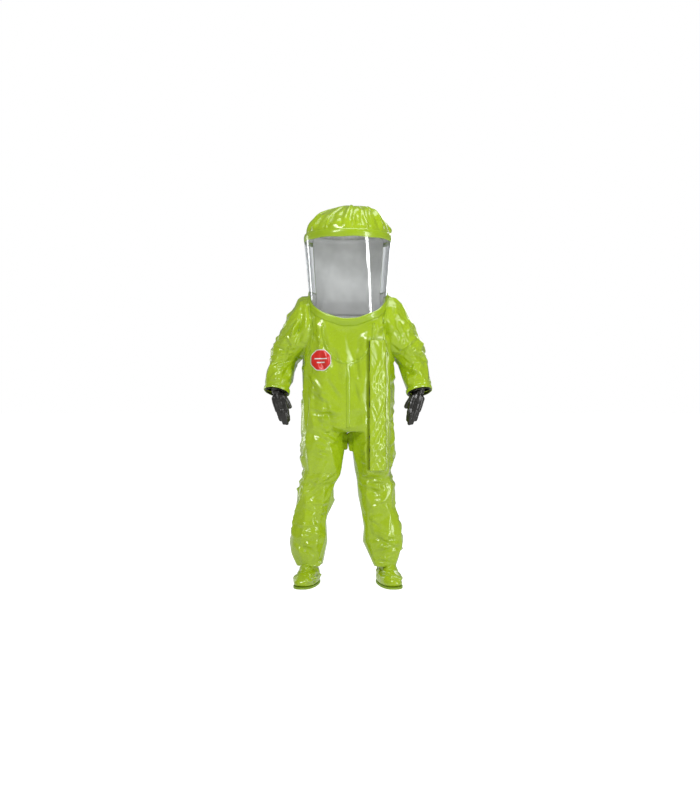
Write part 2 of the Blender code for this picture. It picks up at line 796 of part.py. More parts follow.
def slider_top():
    return chain_levels()[1] + SLIDER_CLEARANCE + SLIDER_WALL


def pull_levels():
    low = slider_top() + 0.0003
    return low, low + PULL_THICKNESS


def flap_rises():
    """Outer faces of the inner and the outer flap over the zipper."""
    inner = pull_levels()[1] + FLAP_CLEARANCE + FLAP_THICKNESS
    return inner, inner + FLAP_CLEARANCE + FLAP_THICKNESS


def make_slider(low, high):
    """Bridge over the chain: an upside-down U, with its pull lying along the chain."""
    inner = CHAIN_WIDTH / 2 + SLIDER_CLEARANCE
    outer = inner + SLIDER_WALL
    under = high + SLIDER_CLEARANCE
    top = slider_top()
    outline = [(-outer, low), (-inner, low), (-inner, under), (inner, under), (inner, low), (outer, low),
               (outer, top), (-outer, top)]
    start = ZIP_END_MARGIN + STOP_LENGTH + 0.001
    made = closure_bar(outline, start, start + SLIDER_LENGTH)
    add_object("zipper_slider", *made, black_plastic(), "slider")
    made = closure_bar(strip(-0.004, 0.004, *pull_levels()), start + 0.004, start + PULL_LENGTH)
    add_object("zipper_pull", *made, black_plastic(), "slider")


def flap_hinge_level():
    return FACING_THICKNESS + FLAP_THICKNESS + 0.0003


def make_flaps(length):
    """Two flaps sewn in one seam at the outboard edge, the outer over the inner."""
    edge, hinge = FLAP_HALF_WIDTH, flap_hinge_level()
    inner_rise, outer_rise = flap_rises()
    lip = hinge + 0.0020
    profile = [(edge, hinge), (edge - FLAP_SLOPE, outer_rise), (-edge + 0.0125, outer_rise),
               (-edge + HOOK_WIDTH, lip), (-edge, lip)]
    made = closure_bar(hat(profile, FLAP_THICKNESS), 0, length)
    add_object("storm_flap", *made, laminate(), "storm_flap")

    fold = edge - 0.0045
    free = edge - 0.0135
    profile = [(fold, hinge), (fold - FLAP_SLOPE, inner_rise), (-free + 0.0075, inner_rise),
               (-free + 0.0030, hinge + 0.0003), (-free, hinge + 0.0003)]
    made = closure_bar(hat(profile, FLAP_THICKNESS), 0.004, length - 0.004)
    add_object("inner_flap", *made, laminate(), "inner_flap")

    base = FACING_THICKNESS + 0.0003
    under = lip - FLAP_THICKNESS
    middle = (base + under) / 2
    hooks = (-edge, -edge + HOOK_WIDTH - 0.0010)
    made = closure_bar(strip(*hooks, base, middle - 0.00015), 0.006, length - 0.006)
    add_object("loop_strip", *made, zipper_cloth())
    made = closure_bar(strip(*hooks, middle + 0.00015, under - 0.0003), 0.006, length - 0.006)
    add_object("hook_strip", *made, zipper_cloth(), "storm_flap")


# ---------------------------------------------------------------- arms
def direction(spread_angle, forward_angle):
    """Unit vector that points down, spread outboard and tipped forward."""
    down = math.cos(spread_angle) * math.cos(forward_angle)
    out = math.sin(spread_angle) * math.cos(forward_angle)
    return Vector((out, -math.sin(forward_angle), -down)).normalized()


def arm_points():
    shoulder = Vector((SHOULDER_X, 0.0, SHOULDER_Z))
    upper = direction(UPPER_ARM_SPREAD, -UPPER_ARM_BACK)
    elbow = shoulder + upper * UPPER_ARM_LENGTH
    fore = direction(FOREARM_SPREAD, FOREARM_FORWARD)
    cuff = elbow + fore * FOREARM_LENGTH
    return shoulder, upper, elbow, fore, cuff


def inner_grid(rings, thickness):
    """The same grid moved inwards along its own normals."""
    count = len(rings[0])
    moved = []
    for i, loop in enumerate(rings):
        before = rings[max(i - 1, 0)]
        after = rings[min(i + 1, len(rings) - 1)]
        middle = sum(loop, Vector()) / count
        points = []
        for j, point in enumerate(loop):
            around = loop[(j + 1) % count] - loop[j - 1]
            normal = around.cross(after[j] - before[j]).normalized()
            outward = around.cross(after[0] - before[0]).dot(point - middle)
            points.append((point, normal, outward))
        sign = 1.0 if sum(p[2] for p in points) > 0 else -1.0
        moved.append([point - normal * (thickness * sign) for point, normal, _ in points])
    return moved


def gusset(shoulder, upper):
    """Soft fabric from the armhole to the upper sleeve."""
    _, first, second = frame_along(upper)
    start = shoulder + upper * (SLEEVE_START - WALL)
    hole = ring(Vector((SHOULDER_X, 0, ARMHOLE_Z)), Vector((0, 1, 0)), Vector((0, 0, 1)),
                ARMHOLE_HALF_DEPTH, ARMHOLE_HALF_HEIGHT)
    sleeve = ring(start, first, second, SLEEVE_TOP_RADIUS, SLEEVE_TOP_RADIUS)
    rings = []
    for t in (0.0, 0.30, 0.65, 1.0):
        loop = [p.lerp(q, t) for p, q in zip(hole, sleeve)]
        middle = sum(loop, Vector()) / len(loop)
        grow = 1 + GUSSET_BULGE * math.sin(math.pi * t)
        rings.append([middle + (p - middle) * grow for p in loop])
    return sheet_solid(rings, inner_grid(rings, WALL), closed=True)


def make_arm(word, side):
    shoulder, upper, elbow, fore, cuff = arm_points()
    add_object("shoulder_gusset_" + word, *gusset(shoulder, upper), laminate(), None, side)

    sleeve_end = UPPER_ARM_LENGTH - ELBOW_FOLD_HALF
    stations = [(shoulder + upper * SLEEVE_START, upper, SLEEVE_TOP_RADIUS, SLEEVE_TOP_RADIUS),
                (shoulder + upper * sleeve_end, upper, SLEEVE_ELBOW_RADIUS, SLEEVE_ELBOW_RADIUS)]
    made = limb_shell(stations, WALL)
    add_object("upper_sleeve_" + word, *made, laminate(), "upper_arm_" + word, side)

    fold = ELBOW_FOLD_RADIUS
    inside = ELBOW_FOLD_HALF * 0.45
    stations = [
        (elbow - upper * (ELBOW_FOLD_HALF - GAP), upper, SLEEVE_ELBOW_RADIUS, SLEEVE_ELBOW_RADIUS),
        (elbow - upper * inside, upper * 2 + fore, fold, fold),
        (elbow, upper + fore, fold, fold),
        (elbow + fore * inside, upper + fore * 2, fold, fold),
        (elbow + fore * (ELBOW_FOLD_HALF - GAP), fore, FOREARM_RADIUS, FOREARM_RADIUS),
    ]
    add_object("elbow_folds_" + word, *limb_shell(stations, WALL), laminate(), "upper_arm_" + word, side)

    body = "forearm_" + word
    stations = [(elbow + fore * ELBOW_FOLD_HALF, fore, FOREARM_RADIUS, FOREARM_RADIUS),
                (cuff - fore * CUFF_HEM_LENGTH, fore, CUFF_RADIUS, CUFF_RADIUS),
                (cuff, fore, CUFF_RADIUS, CUFF_RADIUS)]
    add_object("forearm_sleeve_" + word, *limb_shell(stations, WALL), laminate(), body, side)

    hem = CUFF_RADIUS + GAP + TRIM
    stations = [(cuff - fore * (CUFF_HEM_LENGTH - GAP), fore, hem, hem), (cuff, fore, hem, hem)]
    add_object("cuff_hem_" + word, *limb_shell(stations, TRIM), trim_tape(), body, side)

    ring_radius = CUFF_RADIUS - WALL - GAP
    stations = [(cuff - fore * CUFF_RING_LENGTH, fore, ring_radius, ring_radius),
                (cuff - fore * 0.001, fore, ring_radius, ring_radius)]
    add_object("cuff_ring_" + word, *limb_shell(stations, CUFF_RING_THICKNESS), black_plastic(), body, side)

    cup = ring_radius - CUFF_RING_THICKNESS - GAP
    stations = [(cuff + fore * (GAUNTLET_STAND_OUT - GAUNTLET_LENGTH), fore, cup, cup),
                (cuff + fore * GAUNTLET_STAND_OUT, fore, cup, cup)]
    add_object("glove_gauntlet_" + word, *limb_shell(stations, GAUNTLET_WALL), black_rubber(), body, side)
    make_hand(word, side, cuff, cup - GAUNTLET_WALL)


# ---------------------------------------------------------------- gloves
def hand_frame():
    """Axes of the hand: along the fingers, across the palm (towards the thumb), and out of its back."""
    along = direction(-HAND_LEAN, HAND_FORWARD)
    back = (Vector((0, -1, 0)) + along * along.y).normalized()
    across = back.cross(along).normalized()
    if across.x > 0:
        across = -across
    return along, across, back


def tapered(points, radii, inset, back, count=8):
    """Solid of round rings through a short line of points."""
    rings = []
    for index, (point, radius) in enumerate(zip(points, radii)):
        ahead = (points[min(index + 1, len(points) - 1)] - points[max(index - 1, 0)]).normalized()
        first = (back - ahead * back.dot(ahead)).normalized()
        second = ahead.cross(first)
        rings.append(ring(point, first, second, radius - inset, radius - inset, count))
    return solid_loft(rings)


def joined(parts):
    verts, faces = [], []
    for more_verts, more_faces in parts:
        base = len(verts)
        verts += more_verts
        faces += [tuple(i + base for i in face) for face in more_faces]
    return verts, faces


def palm(wrist, start, inset, wrist_half):
    along, across, back = hand_frame()
    rows = ((start, wrist_half, WRIST_HALF_DEPTH),
            (0.040, WRIST_HALF_WIDTH + 0.003, WRIST_HALF_DEPTH - 0.002),
            (0.075, HAND_HALF_WIDTH, HAND_HALF_DEPTH),
            (PALM_LENGTH - inset, HAND_HALF_WIDTH, HAND_HALF_DEPTH - 0.004))
    rings = []
    for reach, half_width, half_depth in rows:
        centre = wrist + along * reach
        rings.append(ring(centre, across, back, half_width - inset, half_depth - inset, 14, 2.5))
    return solid_loft(rings)


def fingers(wrist, inset):
    """Four fingers side by side, bent a little towards the palm."""
    along, across, back = hand_frame()
    parts = []
    pitch = 2 * FINGER_RADIUS + FINGER_GAP
    for index, share in enumerate((0.82, 0.95, 1.0, 0.90)):
        place = (index - 1.5) * pitch
        root = wrist + along * (PALM_LENGTH - 0.012) + across * (-place)
        length = (HAND_LENGTH - PALM_LENGTH + 0.012) * share - inset
        points = [root, root + along * (length * 0.5) - back * 0.004, root + along * length - back * 0.014]
        parts.append(tapered(points, (FINGER_RADIUS, FINGER_RADIUS, FINGER_RADIUS * 0.72), inset, back))
    return parts


def thumb(wrist, inset):
    along, across, back = hand_frame()
    root = wrist + along * 0.048 + across * (HAND_HALF_WIDTH * 0.45)
    swing = (along * 0.70 + across * 0.72).normalized()
    points = [root, root + swing * (THUMB_LENGTH * 0.55),
              root + swing * (THUMB_LENGTH * 0.55) + along * (THUMB_LENGTH * 0.45 - inset)]
    return tapered(points, (THUMB_RADIUS, THUMB_RADIUS, THUMB_RADIUS * 0.75), inset, back)


def make_hand(word, side, wrist, cup_radius):
    """Hollow glove: palm, fingers and thumb joined, then hollowed to the fingertips."""
    body = "hand_" + word
    wrist_half = min(WRIST_HALF_WIDTH, cup_radius - WRIST_CLEARANCE)
    look = black_rubber()
    glove = add_object("glove_hand_" + word, *palm(wrist, -0.008, 0.0, wrist_half), look, body, side)
    steps = (
        ("fingers", joined(fingers(wrist, 0.0)), "UNION"),
        ("thumb", thumb(wrist, 0.0), "UNION"),
        ("palm_hollow", palm(wrist, -0.020, GLOVE_WALL, wrist_half), "DIFFERENCE"),
        ("finger_hollow", joined(fingers(wrist, GLOVE_WALL)), "DIFFERENCE"),
        ("thumb_hollow", thumb(wrist, GLOVE_WALL), "DIFFERENCE"),
    )
    for step, shape, operation in steps:
        tool = add_object("glove_" + step + "_" + word, *shape, look, body, side)
        boolean(glove, tool, operation)


# ---------------------------------------------------------------- legs
def leg_ring(x, y, z, half_width, half_depth, square=2.4, count=ROUND):
    centre = Vector((x, y, z))
    return ring(centre, Vector((0, 1, 0)), Vector((1, 0, 0)), half_depth, half_width, count, square)


def leg_tube(rows, wall):
    """Upright tube through rows of (x, y, z, half width, half depth, squareness)."""
    outer = [leg_ring(x, y, z, w, d, q) for x, y, z, w, d, q in rows]
    inner = [leg_ring(x, y, z, w - wall, d - wall, q) for x, y, z, w, d, q in rows]
    return sheet_solid(outer, inner, closed=True)


def make_leg(word, side, slit):
    thigh_end = KNEE_Z + KNEE_FOLD_HALF
    low_x = blend(HIP_X, KNEE_X, 0.42)
    upper_z = blend(CROTCH_Z, thigh_end, 0.40)
    lower_z = blend(CROTCH_Z, thigh_end, 0.75)
    rows = [
        (HIP_X, 0.0, CROTCH_Z - GAP, THIGH_TOP_HALF_WIDTH, SEAT_DEPTH - 0.016, 3.0),
        (HIP_X + 0.004, 0.0, upper_z, THIGH_HALF_WIDTH, SEAT_DEPTH - 0.024, 2.7),
        (HIP_X + 0.008, 0.0, lower_z, THIGH_HALF_WIDTH - 0.008, SEAT_DEPTH - 0.034, 2.5),
        (low_x, 0.0, thigh_end, KNEE_HALF_WIDTH + 0.003, KNEE_HALF_DEPTH + 0.012, 2.4),
    ]
    thigh = add_object("thigh_" + word, *leg_tube(rows, WALL), laminate(), None, side)
    if side > 0:
        boolean(thigh, slit, "DIFFERENCE")

    shin_start = KNEE_Z - KNEE_FOLD_HALF
    start = (blend(KNEE_X, ANKLE_X, 0.08), 0.0, shin_start, KNEE_HALF_WIDTH, KNEE_HALF_DEPTH, 2.3)
    above = KNEE_Z + KNEE_FOLD_HALF * 0.45
    rows = [
        (low_x, 0.0, thigh_end - GAP, KNEE_HALF_WIDTH + 0.003, KNEE_HALF_DEPTH + 0.012, 2.4),
        (KNEE_X - 0.008, -0.004, above, KNEE_HALF_WIDTH, KNEE_HALF_DEPTH + 0.008, 2.3),
        (KNEE_X, -0.004, KNEE_Z, KNEE_HALF_WIDTH, KNEE_HALF_DEPTH + 0.006, 2.3),
        (start[0], 0.0, shin_start + GAP, KNEE_HALF_WIDTH, KNEE_HALF_DEPTH, 2.3),
    ]
    add_object("knee_folds_" + word, *leg_tube(rows, WALL), laminate(), None, side)

    body = "shin_" + word
    cover = SHIN_HALF_WIDTH, SHIN_HALF_DEPTH
    hem = SHIN_END_RADIUS + 0.004
    rows = [
        start,
        (blend(KNEE_X, ANKLE_X, 0.35), 0.0, blend(shin_start, BOOT_FLAP_TOP_Z, 0.45), *cover, 2.2),
        (blend(KNEE_X, ANKLE_X, 0.80), 0.0, BOOT_FLAP_TOP_Z, *cover, 2.1),
        (ANKLE_X, 0.0, blend(BOOT_FLAP_TOP_Z, SHIN_END_Z, 0.55), hem, hem, 2.0),
        (ANKLE_X, 0.0, SHIN_END_Z, SHIN_END_RADIUS, SHIN_END_RADIUS, 2.0),
    ]
    add_object("shin_" + word, *leg_tube(rows, WALL), laminate(), body, side)

    stand = BOOT_FLAP_CLEARANCE + TRIM
    rows = [
        (blend(KNEE_X, ANKLE_X, 0.80), 0.0, BOOT_FLAP_TOP_Z, cover[0] + stand, cover[1] + stand, 2.1),
        (ANKLE_X - 0.006, 0.0, blend(BOOT_FLAP_TOP_Z, BOOT_FLAP_BOTTOM_Z, 0.6), cover[0] + stand + 0.004,
         cover[1] + stand + 0.004, 2.1),
        (ANKLE_X - 0.006, 0.0, BOOT_FLAP_BOTTOM_Z, SHIN_END_RADIUS + stand + BOOT_FLAP_FLARE,
         SHIN_END_RADIUS + stand + BOOT_FLAP_FLARE, 2.0),
    ]
    add_object("boot_flap_" + word, *leg_tube(rows, TRIM), laminate(), body, side)
    make_foot(word, side)


def foot_point(ahead, beside, z):
    """Point of the left foot, which turns outward round the ankle."""
    turn = FOOT_SPLAY
    x = ANKLE_X + math.sin(turn) * ahead + math.cos(turn) * beside
    y = -math.cos(turn) * ahead + math.sin(turn) * beside
    return Vector((x, y, z))


def foot_outline(inset, count=20):
    """Plan of the foot as (ahead, beside) pairs: a long oval, wider at the toes."""
    toe = FOOT_LENGTH - FOOT_HEEL
    points = []
    for i in range(count):
        turn = 2 * math.pi * i / count
        c, s = math.cos(turn), math.sin(turn)
        ahead = blend(-FOOT_HEEL, toe, (1 + math.copysign(abs(c) ** 0.85, c)) / 2)
        width = FOOT_HALF_WIDTH * (0.86 + 0.14 * (1 + c) / 2)
        beside = width * math.copysign(abs(s) ** 0.80, s)
        shrink_a = 1 - inset / (FOOT_LENGTH / 2)
        shrink_b = 1 - inset / FOOT_HALF_WIDTH
        centre = (toe - FOOT_HEEL) / 2
        points.append((centre + (ahead - centre) * shrink_a, beside * shrink_b))
    return points


def foot_body(inset, base):
    """Low rounded shoe: outline rings that shrink and move back as they rise."""
    rings = []
    top = FOOT_HEIGHT - inset
    toe = FOOT_LENGTH - FOOT_HEEL
    for t, keep in ((0.0, 0.95), (0.18, 1.0), (0.45, 0.97), (0.70, 0.84), (0.90, 0.62), (1.0, 0.42)):
        z = blend(base, top, t)
        slide = (1 - keep) * (-toe * 0.30)
        narrow = 0.25 + 0.75 * keep
        rings.append([foot_point(a * keep + slide, b * narrow, z) for a, b in foot_outline(inset)])
    return solid_loft(rings)


def neck_body(inset, base, top):
    rings = []
    flare = BOOTIE_NECK_RADIUS + 0.006
    for z, radius in ((base, flare), (ANKLE_Z, BOOTIE_NECK_RADIUS), (top, BOOTIE_NECK_RADIUS)):
        rings.append(leg_ring(ANKLE_X, 0.0, z, radius - inset, radius - inset, 2.0, ROUND))
    return solid_loft(rings)


def make_foot(word, side):
    body = "foot_" + word
    base = SOLE_THICKNESS + GAP
    bootie = add_object("bootie_" + word, *foot_body(0.0, base), laminate(), body, side)
    neck = neck_body(0.0, base + 0.02, BOOTIE_NECK_TOP_Z)
    tool = add_object("bootie_neck_" + word, *neck, laminate(), body, side)
    boolean(bootie, tool, "UNION")
    tool = add_object("bootie_hollow_" + word, *foot_body(WALL * 1.25, base + WALL), laminate(), body, side)
    boolean(bootie, tool, "DIFFERENCE")
    neck = neck_body(WALL, base + 0.022, BOOTIE_NECK_TOP_Z + 0.02)
    tool = add_object("bootie_neck_hollow_" + word, *neck, laminate(), body, side)
    boolean(bootie, tool, "DIFFERENCE")

    rings = [[foot_point(a, b, z) for a, b in foot_outline(0.0)] for z in (0.0, SOLE_THICKNESS)]
    add_object("sole_" + word, *solid_loft(rings), sole_rubber(), body, side)


# ---------------------------------------------------------------- assembly
def fill_pivots():
    shoulder, _, elbow, _, cuff = arm_points()
    for word, side in SIDES:
        places = {
            "upper_arm_": shoulder, "forearm_": elbow, "hand_": cuff,
            "shin_": Vector((KNEE_X, 0, KNEE_Z)), "foot_": Vector((ANKLE_X, 0, ANKLE_Z)),
        }
        for stem, place in places.items():
            BODY_PIVOTS[stem + word] = Vector((place.x * side, place.y, place.z))
        BODY_PIVOTS["diaphragm_" + word] = valve_axis(side)[0]
    hinge = closure_point(0, FLAP_HALF_WIDTH, flap_hinge_level())
    BODY_PIVOTS["storm_flap"] = hinge
    BODY_PIVOTS["inner_flap"] = hinge
    BODY_PIVOTS["slider"] = closure_point(ZIP_END_MARGIN + STOP_LENGTH, 0, 0)


def build():
    clear_scene()
    fill_pivots()
    make_valves(make_hood())
    make_body()
    make_closure()
    slit = bpy.data.objects["closure_slit_cut"]
    for word, side in SIDES:
        make_arm(word, side)
        make_leg(word, side, slit)


build()
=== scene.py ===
"""Lime-green encapsulating protective suit: the looks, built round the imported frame."""
import math

import bmesh
import bpy
import numpy as np
from mathutils import Matrix, Vector, noise
from mathutils.bvhtree import BVHTree


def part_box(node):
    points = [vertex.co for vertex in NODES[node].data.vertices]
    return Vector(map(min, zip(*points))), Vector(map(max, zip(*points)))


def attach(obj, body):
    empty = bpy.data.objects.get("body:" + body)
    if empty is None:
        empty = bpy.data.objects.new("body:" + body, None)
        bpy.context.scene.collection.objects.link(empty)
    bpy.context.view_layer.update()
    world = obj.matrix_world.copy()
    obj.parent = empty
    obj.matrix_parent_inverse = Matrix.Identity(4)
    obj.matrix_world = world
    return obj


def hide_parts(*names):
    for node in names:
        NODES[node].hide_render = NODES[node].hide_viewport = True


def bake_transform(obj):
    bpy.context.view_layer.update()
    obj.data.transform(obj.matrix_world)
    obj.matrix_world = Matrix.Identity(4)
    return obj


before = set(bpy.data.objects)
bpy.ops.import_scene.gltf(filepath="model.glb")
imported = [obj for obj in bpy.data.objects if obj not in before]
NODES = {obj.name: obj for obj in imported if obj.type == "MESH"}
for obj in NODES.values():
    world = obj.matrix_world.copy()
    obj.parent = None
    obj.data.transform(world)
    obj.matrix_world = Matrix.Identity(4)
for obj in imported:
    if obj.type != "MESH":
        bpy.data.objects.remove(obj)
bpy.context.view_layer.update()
RNG = np.random.default_rng(11)

# ---------------------------------------------------------------- dimensions, in metres
SHOULDER = Vector((0.190, 0.0, 1.400))
ELBOW = Vector((0.33134, 0.01953, 1.15908))
CUFF = Vector((0.36508, -0.0501, 0.98555))
UPPER = (ELBOW - SHOULDER).normalized()
FORE = (CUFF - ELBOW).normalized()
VISOR_TOP = 1.755
HOOD_BASE = 1.500
VISOR_LOW = 1.345
VISOR_WRAP = math.radians(125)
TRIM_HEIGHT = 0.045
CROWN_START = VISOR_TOP + TRIM_HEIGHT - 0.008
CROWN_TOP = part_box("hood_crown")[1][2]
BODY_VOXEL = 0.0115
SHELL = 0.0016
KNEE_CUT = 0.572
HEM_Z = 0.096
CROTCH = 0.782
FOLD_DEPTH = 1.45
ARM_BLEND = (0.150, 0.236)              # meant as the reach over which a sleeve passes from the body to the arm; only handed to the raglan seam, which does not use it
SLEEVE_CUT = 0.125                      # reach of the sleeve skin's inner end
BURIED_REACH = 0.195                    # sleeve skin inside the body is dropped up to this reach
BURIED_DEPTH = 0.006


# ---------------------------------------------------------------- node material helpers
def new_material(name):
    mat = bpy.data.materials.new(name)
    mat.use_nodes = True
    mat.node_tree.nodes.clear()
    return mat, mat.node_tree.nodes, mat.node_tree.links


def coordinates(nodes, links, scale):
    coords = nodes.new("ShaderNodeTexCoord")
    mapping = nodes.new("ShaderNodeMapping")
    mapping.inputs["Scale"].default_value = scale
    links.new(coords.outputs["Object"], mapping.inputs["Vector"])
    return mapping.outputs["Vector"]


def noise_node(nodes, links, vector, scale, detail=3.0, roughness=0.5):
    node = nodes.new("ShaderNodeTexNoise")
    node.inputs["Scale"].default_value = scale
    node.inputs["Detail"].default_value = detail
    node.inputs["Roughness"].default_value = roughness
    links.new(vector, node.inputs["Vector"])
    return node.outputs["Fac"]


def ramp(nodes, links, value, stops):
    node = nodes.new("ShaderNodeValToRGB")
    while len(node.color_ramp.elements) > len(stops):
        node.color_ramp.elements.remove(node.color_ramp.elements[-1])
    while len(node.color_ramp.elements) < len(stops):
        node.color_ramp.elements.new(0.5)
    for element, (place, color) in zip(node.color_ramp.elements, stops):
        element.position = place
        element.color = color if len(color) == 4 else (*color, 1.0)
    links.new(value, node.inputs["Fac"])
    return node.outputs["Color"]


def bump(nodes, links, height, distance, strength, normal=None):
    node = nodes.new("ShaderNodeBump")
    node.inputs["Distance"].default_value = distance
    node.inputs["Strength"].default_value = strength
    links.new(height, node.inputs["Height"])
    if normal is not None:
        links.new(normal, node.inputs["Normal"])
    return node.outputs["Normal"]


def principled(nodes, links, roughness, specular=0.5, coat=0.0, coat_roughness=0.1):
    shader = nodes.new("ShaderNodeBsdfPrincipled")
    output = nodes.new("ShaderNodeOutputMaterial")
    shader.inputs["Roughness"].default_value = roughness
    shader.inputs["Specular IOR Level"].default_value = specular
    shader.inputs["Coat Weight"].default_value = coat
    shader.inputs["Coat Roughness"].default_value = coat_roughness
    links.new(shader.outputs["BSDF"], output.inputs["Surface"])
    return shader


def vary_roughness(nodes, links, value, shader, low, high):
    """Lets a pattern move the shader's roughness between two values."""
    rough = nodes.new("ShaderNodeMapRange")
    rough.inputs["To Min"].default_value = low
    rough.inputs["To Max"].default_value = high
    links.new(value, rough.inputs["Value"])
    links.new(rough.outputs["Result"], shader.inputs["Roughness"])


def crinkle(nodes, links, vector, scale):
    """Height that rises from each cell's middle to sharp lines between the cells, as in creased film."""
    cells = nodes.new("ShaderNodeTexVoronoi")
    cells.feature = "F1"
    cells.inputs["Scale"].default_value = scale
    cells.inputs["Randomness"].default_value = 1.0
    links.new(vector, cells.inputs["Vector"])
    return cells.outputs["Distance"]


def film_material(name, light, dark, crease=1.0, roughness=0.24):
    """Coated laminate film: glossy coat, faint colour drift, creases from 10 to 120 mm."""
    mat, nodes, links = new_material(name)
    vector = coordinates(nodes, links, (1, 1, 1))
    stretched = coordinates(nodes, links, (1.0, 1.0, 0.62))
    drift = noise_node(nodes, links, vector, 7.0, 4.0, 0.6)
    color = ramp(nodes, links, drift, [(0.34, dark), (0.66, light)])
    shader = principled(nodes, links, roughness, 0.5, 0.45, 0.08)
    links.new(color, shader.inputs["Base Color"])
    scuff = noise_node(nodes, links, vector, 34.0, 5.0, 0.65)
    vary_roughness(nodes, links, scuff, shader, roughness - 0.07, roughness + 0.12)
    warp = nodes.new("ShaderNodeTexNoise")
    warp.inputs["Scale"].default_value = 5.0
    links.new(stretched, warp.inputs["Vector"])
    moved = nodes.new("ShaderNodeMixRGB")
    moved.blend_type = "ADD"
    moved.inputs["Fac"].default_value = 0.20
    links.new(stretched, moved.inputs["Color1"])
    links.new(warp.outputs["Color"], moved.inputs["Color2"])
    large = crinkle(nodes, links, moved.outputs["Color"], 11.0)
    small = crinkle(nodes, links, moved.outputs["Color"], 30.0)
    grain = noise_node(nodes, links, vector, 420.0, 2.0)
    normal = bump(nodes, links, large, 0.030, 0.17 * crease)
    normal = bump(nodes, links, small, 0.008, 0.06 * crease, normal)
    normal = bump(nodes, links, grain, 0.0006, 0.25, normal)
    links.new(normal, shader.inputs["Normal"])
    return mat


def smooth_material(name, color, roughness, coat, scale, height, second=None, swell=0.006):
    """Moulded or printed surface with a fine grain and a slow change of tone."""
    mat, nodes, links = new_material(name)
    vector = coordinates(nodes, links, (1, 1, 1))
    tone = noise_node(nodes, links, vector, 18.0, 4.0)
    paired = second or tuple(c * 0.78 for c in color)
    shader = principled(nodes, links, roughness, 0.5, coat, 0.15)
    links.new(ramp(nodes, links, tone, [(0.35, paired), (0.65, color)]), shader.inputs["Base Color"])
    grain = noise_node(nodes, links, vector, scale, 3.0)
    slow = noise_node(nodes, links, vector, 26.0, 2.0)
    normal = bump(nodes, links, slow, swell, 0.35)
    normal = bump(nodes, links, grain, height, 0.5, normal)
    links.new(normal, shader.inputs["Normal"])
    vary_roughness(nodes, links, tone, shader, max(0.04, roughness - 0.06), roughness + 0.10)
    return mat


def visor_material():
    """Clear flexible sheet: see-through face on, mirror-like towards its edges."""
    mat, nodes, links = new_material("clear_visor_sheet")
    vector = coordinates(nodes, links, (1, 1, 0.35))
    shader = nodes.new("ShaderNodeBsdfPrincipled")
    shader.inputs["Base Color"].default_value = (0.80, 0.82, 0.83, 1.0)
    shader.inputs["Roughness"].default_value = 0.05
    shader.inputs["Specular IOR Level"].default_value = 0.9
    ripple = noise_node(nodes, links, vector, 7.0, 2.0)
    links.new(bump(nodes, links, ripple, 0.012, 0.25), shader.inputs["Normal"])
    clear = nodes.new("ShaderNodeBsdfTransparent")
    clear.inputs["Color"].default_value = (0.955, 0.965, 0.970, 1.0)
    gloss = nodes.new("ShaderNodeBsdfGlossy")
    gloss.inputs["Roughness"].default_value = 0.06
    gloss.inputs["Color"].default_value = (1.0, 1.0, 1.0, 1.0)
    links.new(bump(nodes, links, ripple, 0.012, 0.25), gloss.inputs["Normal"])
    weight = nodes.new("ShaderNodeLayerWeight")
    weight.inputs["Blend"].default_value = 0.12
    share = nodes.new("ShaderNodeMapRange")
    share.inputs["To Min"].default_value = 0.05
    share.inputs["To Max"].default_value = 0.55
    links.new(weight.outputs["Fresnel"], share.inputs["Value"])
    mixed = nodes.new("ShaderNodeMixShader")
    links.new(share.outputs["Result"], mixed.inputs["Fac"])
    links.new(clear.outputs["BSDF"], mixed.inputs[1])
    links.new(gloss.outputs["BSDF"], mixed.inputs[2])
    haze = nodes.new("ShaderNodeMixShader")
    haze.inputs["Fac"].default_value = 0.05
    links.new(mixed.outputs["Shader"], haze.inputs[1])
    links.new(shader.outputs["BSDF"], haze.inputs[2])
    output = nodes.new("ShaderNodeOutputMaterial")
    links.new(haze.outputs["Shader"], output.inputs["Surface"])
    return mat


def cloth_material(name, color):
    """Woven tape with a plain weave."""
    mat, nodes, links = new_material(name)
    vector = coordinates(nodes, links, (1, 1, 1))
    shader = principled(nodes, links, 0.8, 0.3)
    weave = nodes.new("ShaderNodeTexWave")
    weave.inputs["Scale"].default_value = 420.0
    weave.inputs["Distortion"].default_value = 1.5
    links.new(vector, weave.inputs["Vector"])
    dark = tuple(c * 0.6 for c in color)
    woven = ramp(nodes, links, weave.outputs["Fac"], [(0.2, dark), (0.8, color)])
    links.new(woven, shader.inputs["Base Color"])
    links.new(bump(nodes, links, weave.outputs["Fac"], 0.0005, 0.6), shader.inputs["Normal"])
    return mat


LIME = (0.392, 0.560, 0.009)
LIME_DARK = (0.345, 0.500, 0.006)
FILM = film_material("lime_film", LIME, LIME_DARK)
FILM_CALM = film_material("lime_film_calm", LIME, LIME_DARK, crease=0.45)
FILM_TRIM = film_material("lime_film_trim", (0.365, 0.535, 0.010), (0.33, 0.49, 0.008),
                          crease=0.35, roughness=0.22)
INNER = smooth_material("inner_grey_film", (0.84, 0.83, 0.81), 0.55, 0.0, 300.0, 0.0006, (0.74, 0.73, 0.71))
VISOR = visor_material()
GLOVE = smooth_material("black_rubber", (0.016, 0.015, 0.012), 0.30, 0.25, 260.0, 0.0008, swell=0.0010)
PLASTIC = smooth_material("black_plastic", (0.018, 0.018, 0.017), 0.38, 0.0, 500.0, 0.0004)
ZIP = smooth_material("zipper_plastic", (0.030, 0.030, 0.030), 0.42, 0.0, 600.0, 0.0004)
ZIP_CLOTH = cloth_material("zipper_cloth", (0.050, 0.060, 0.045))
SOLE = smooth_material("sole_rubber", (0.30, 0.46, 0.025), 0.55, 0.0, 240.0, 0.0010)
RED = smooth_material("patch_red", (0.700, 0.016, 0.008), 0.32, 0.20, 700.0, 0.0003, (0.640, 0.012, 0.006))
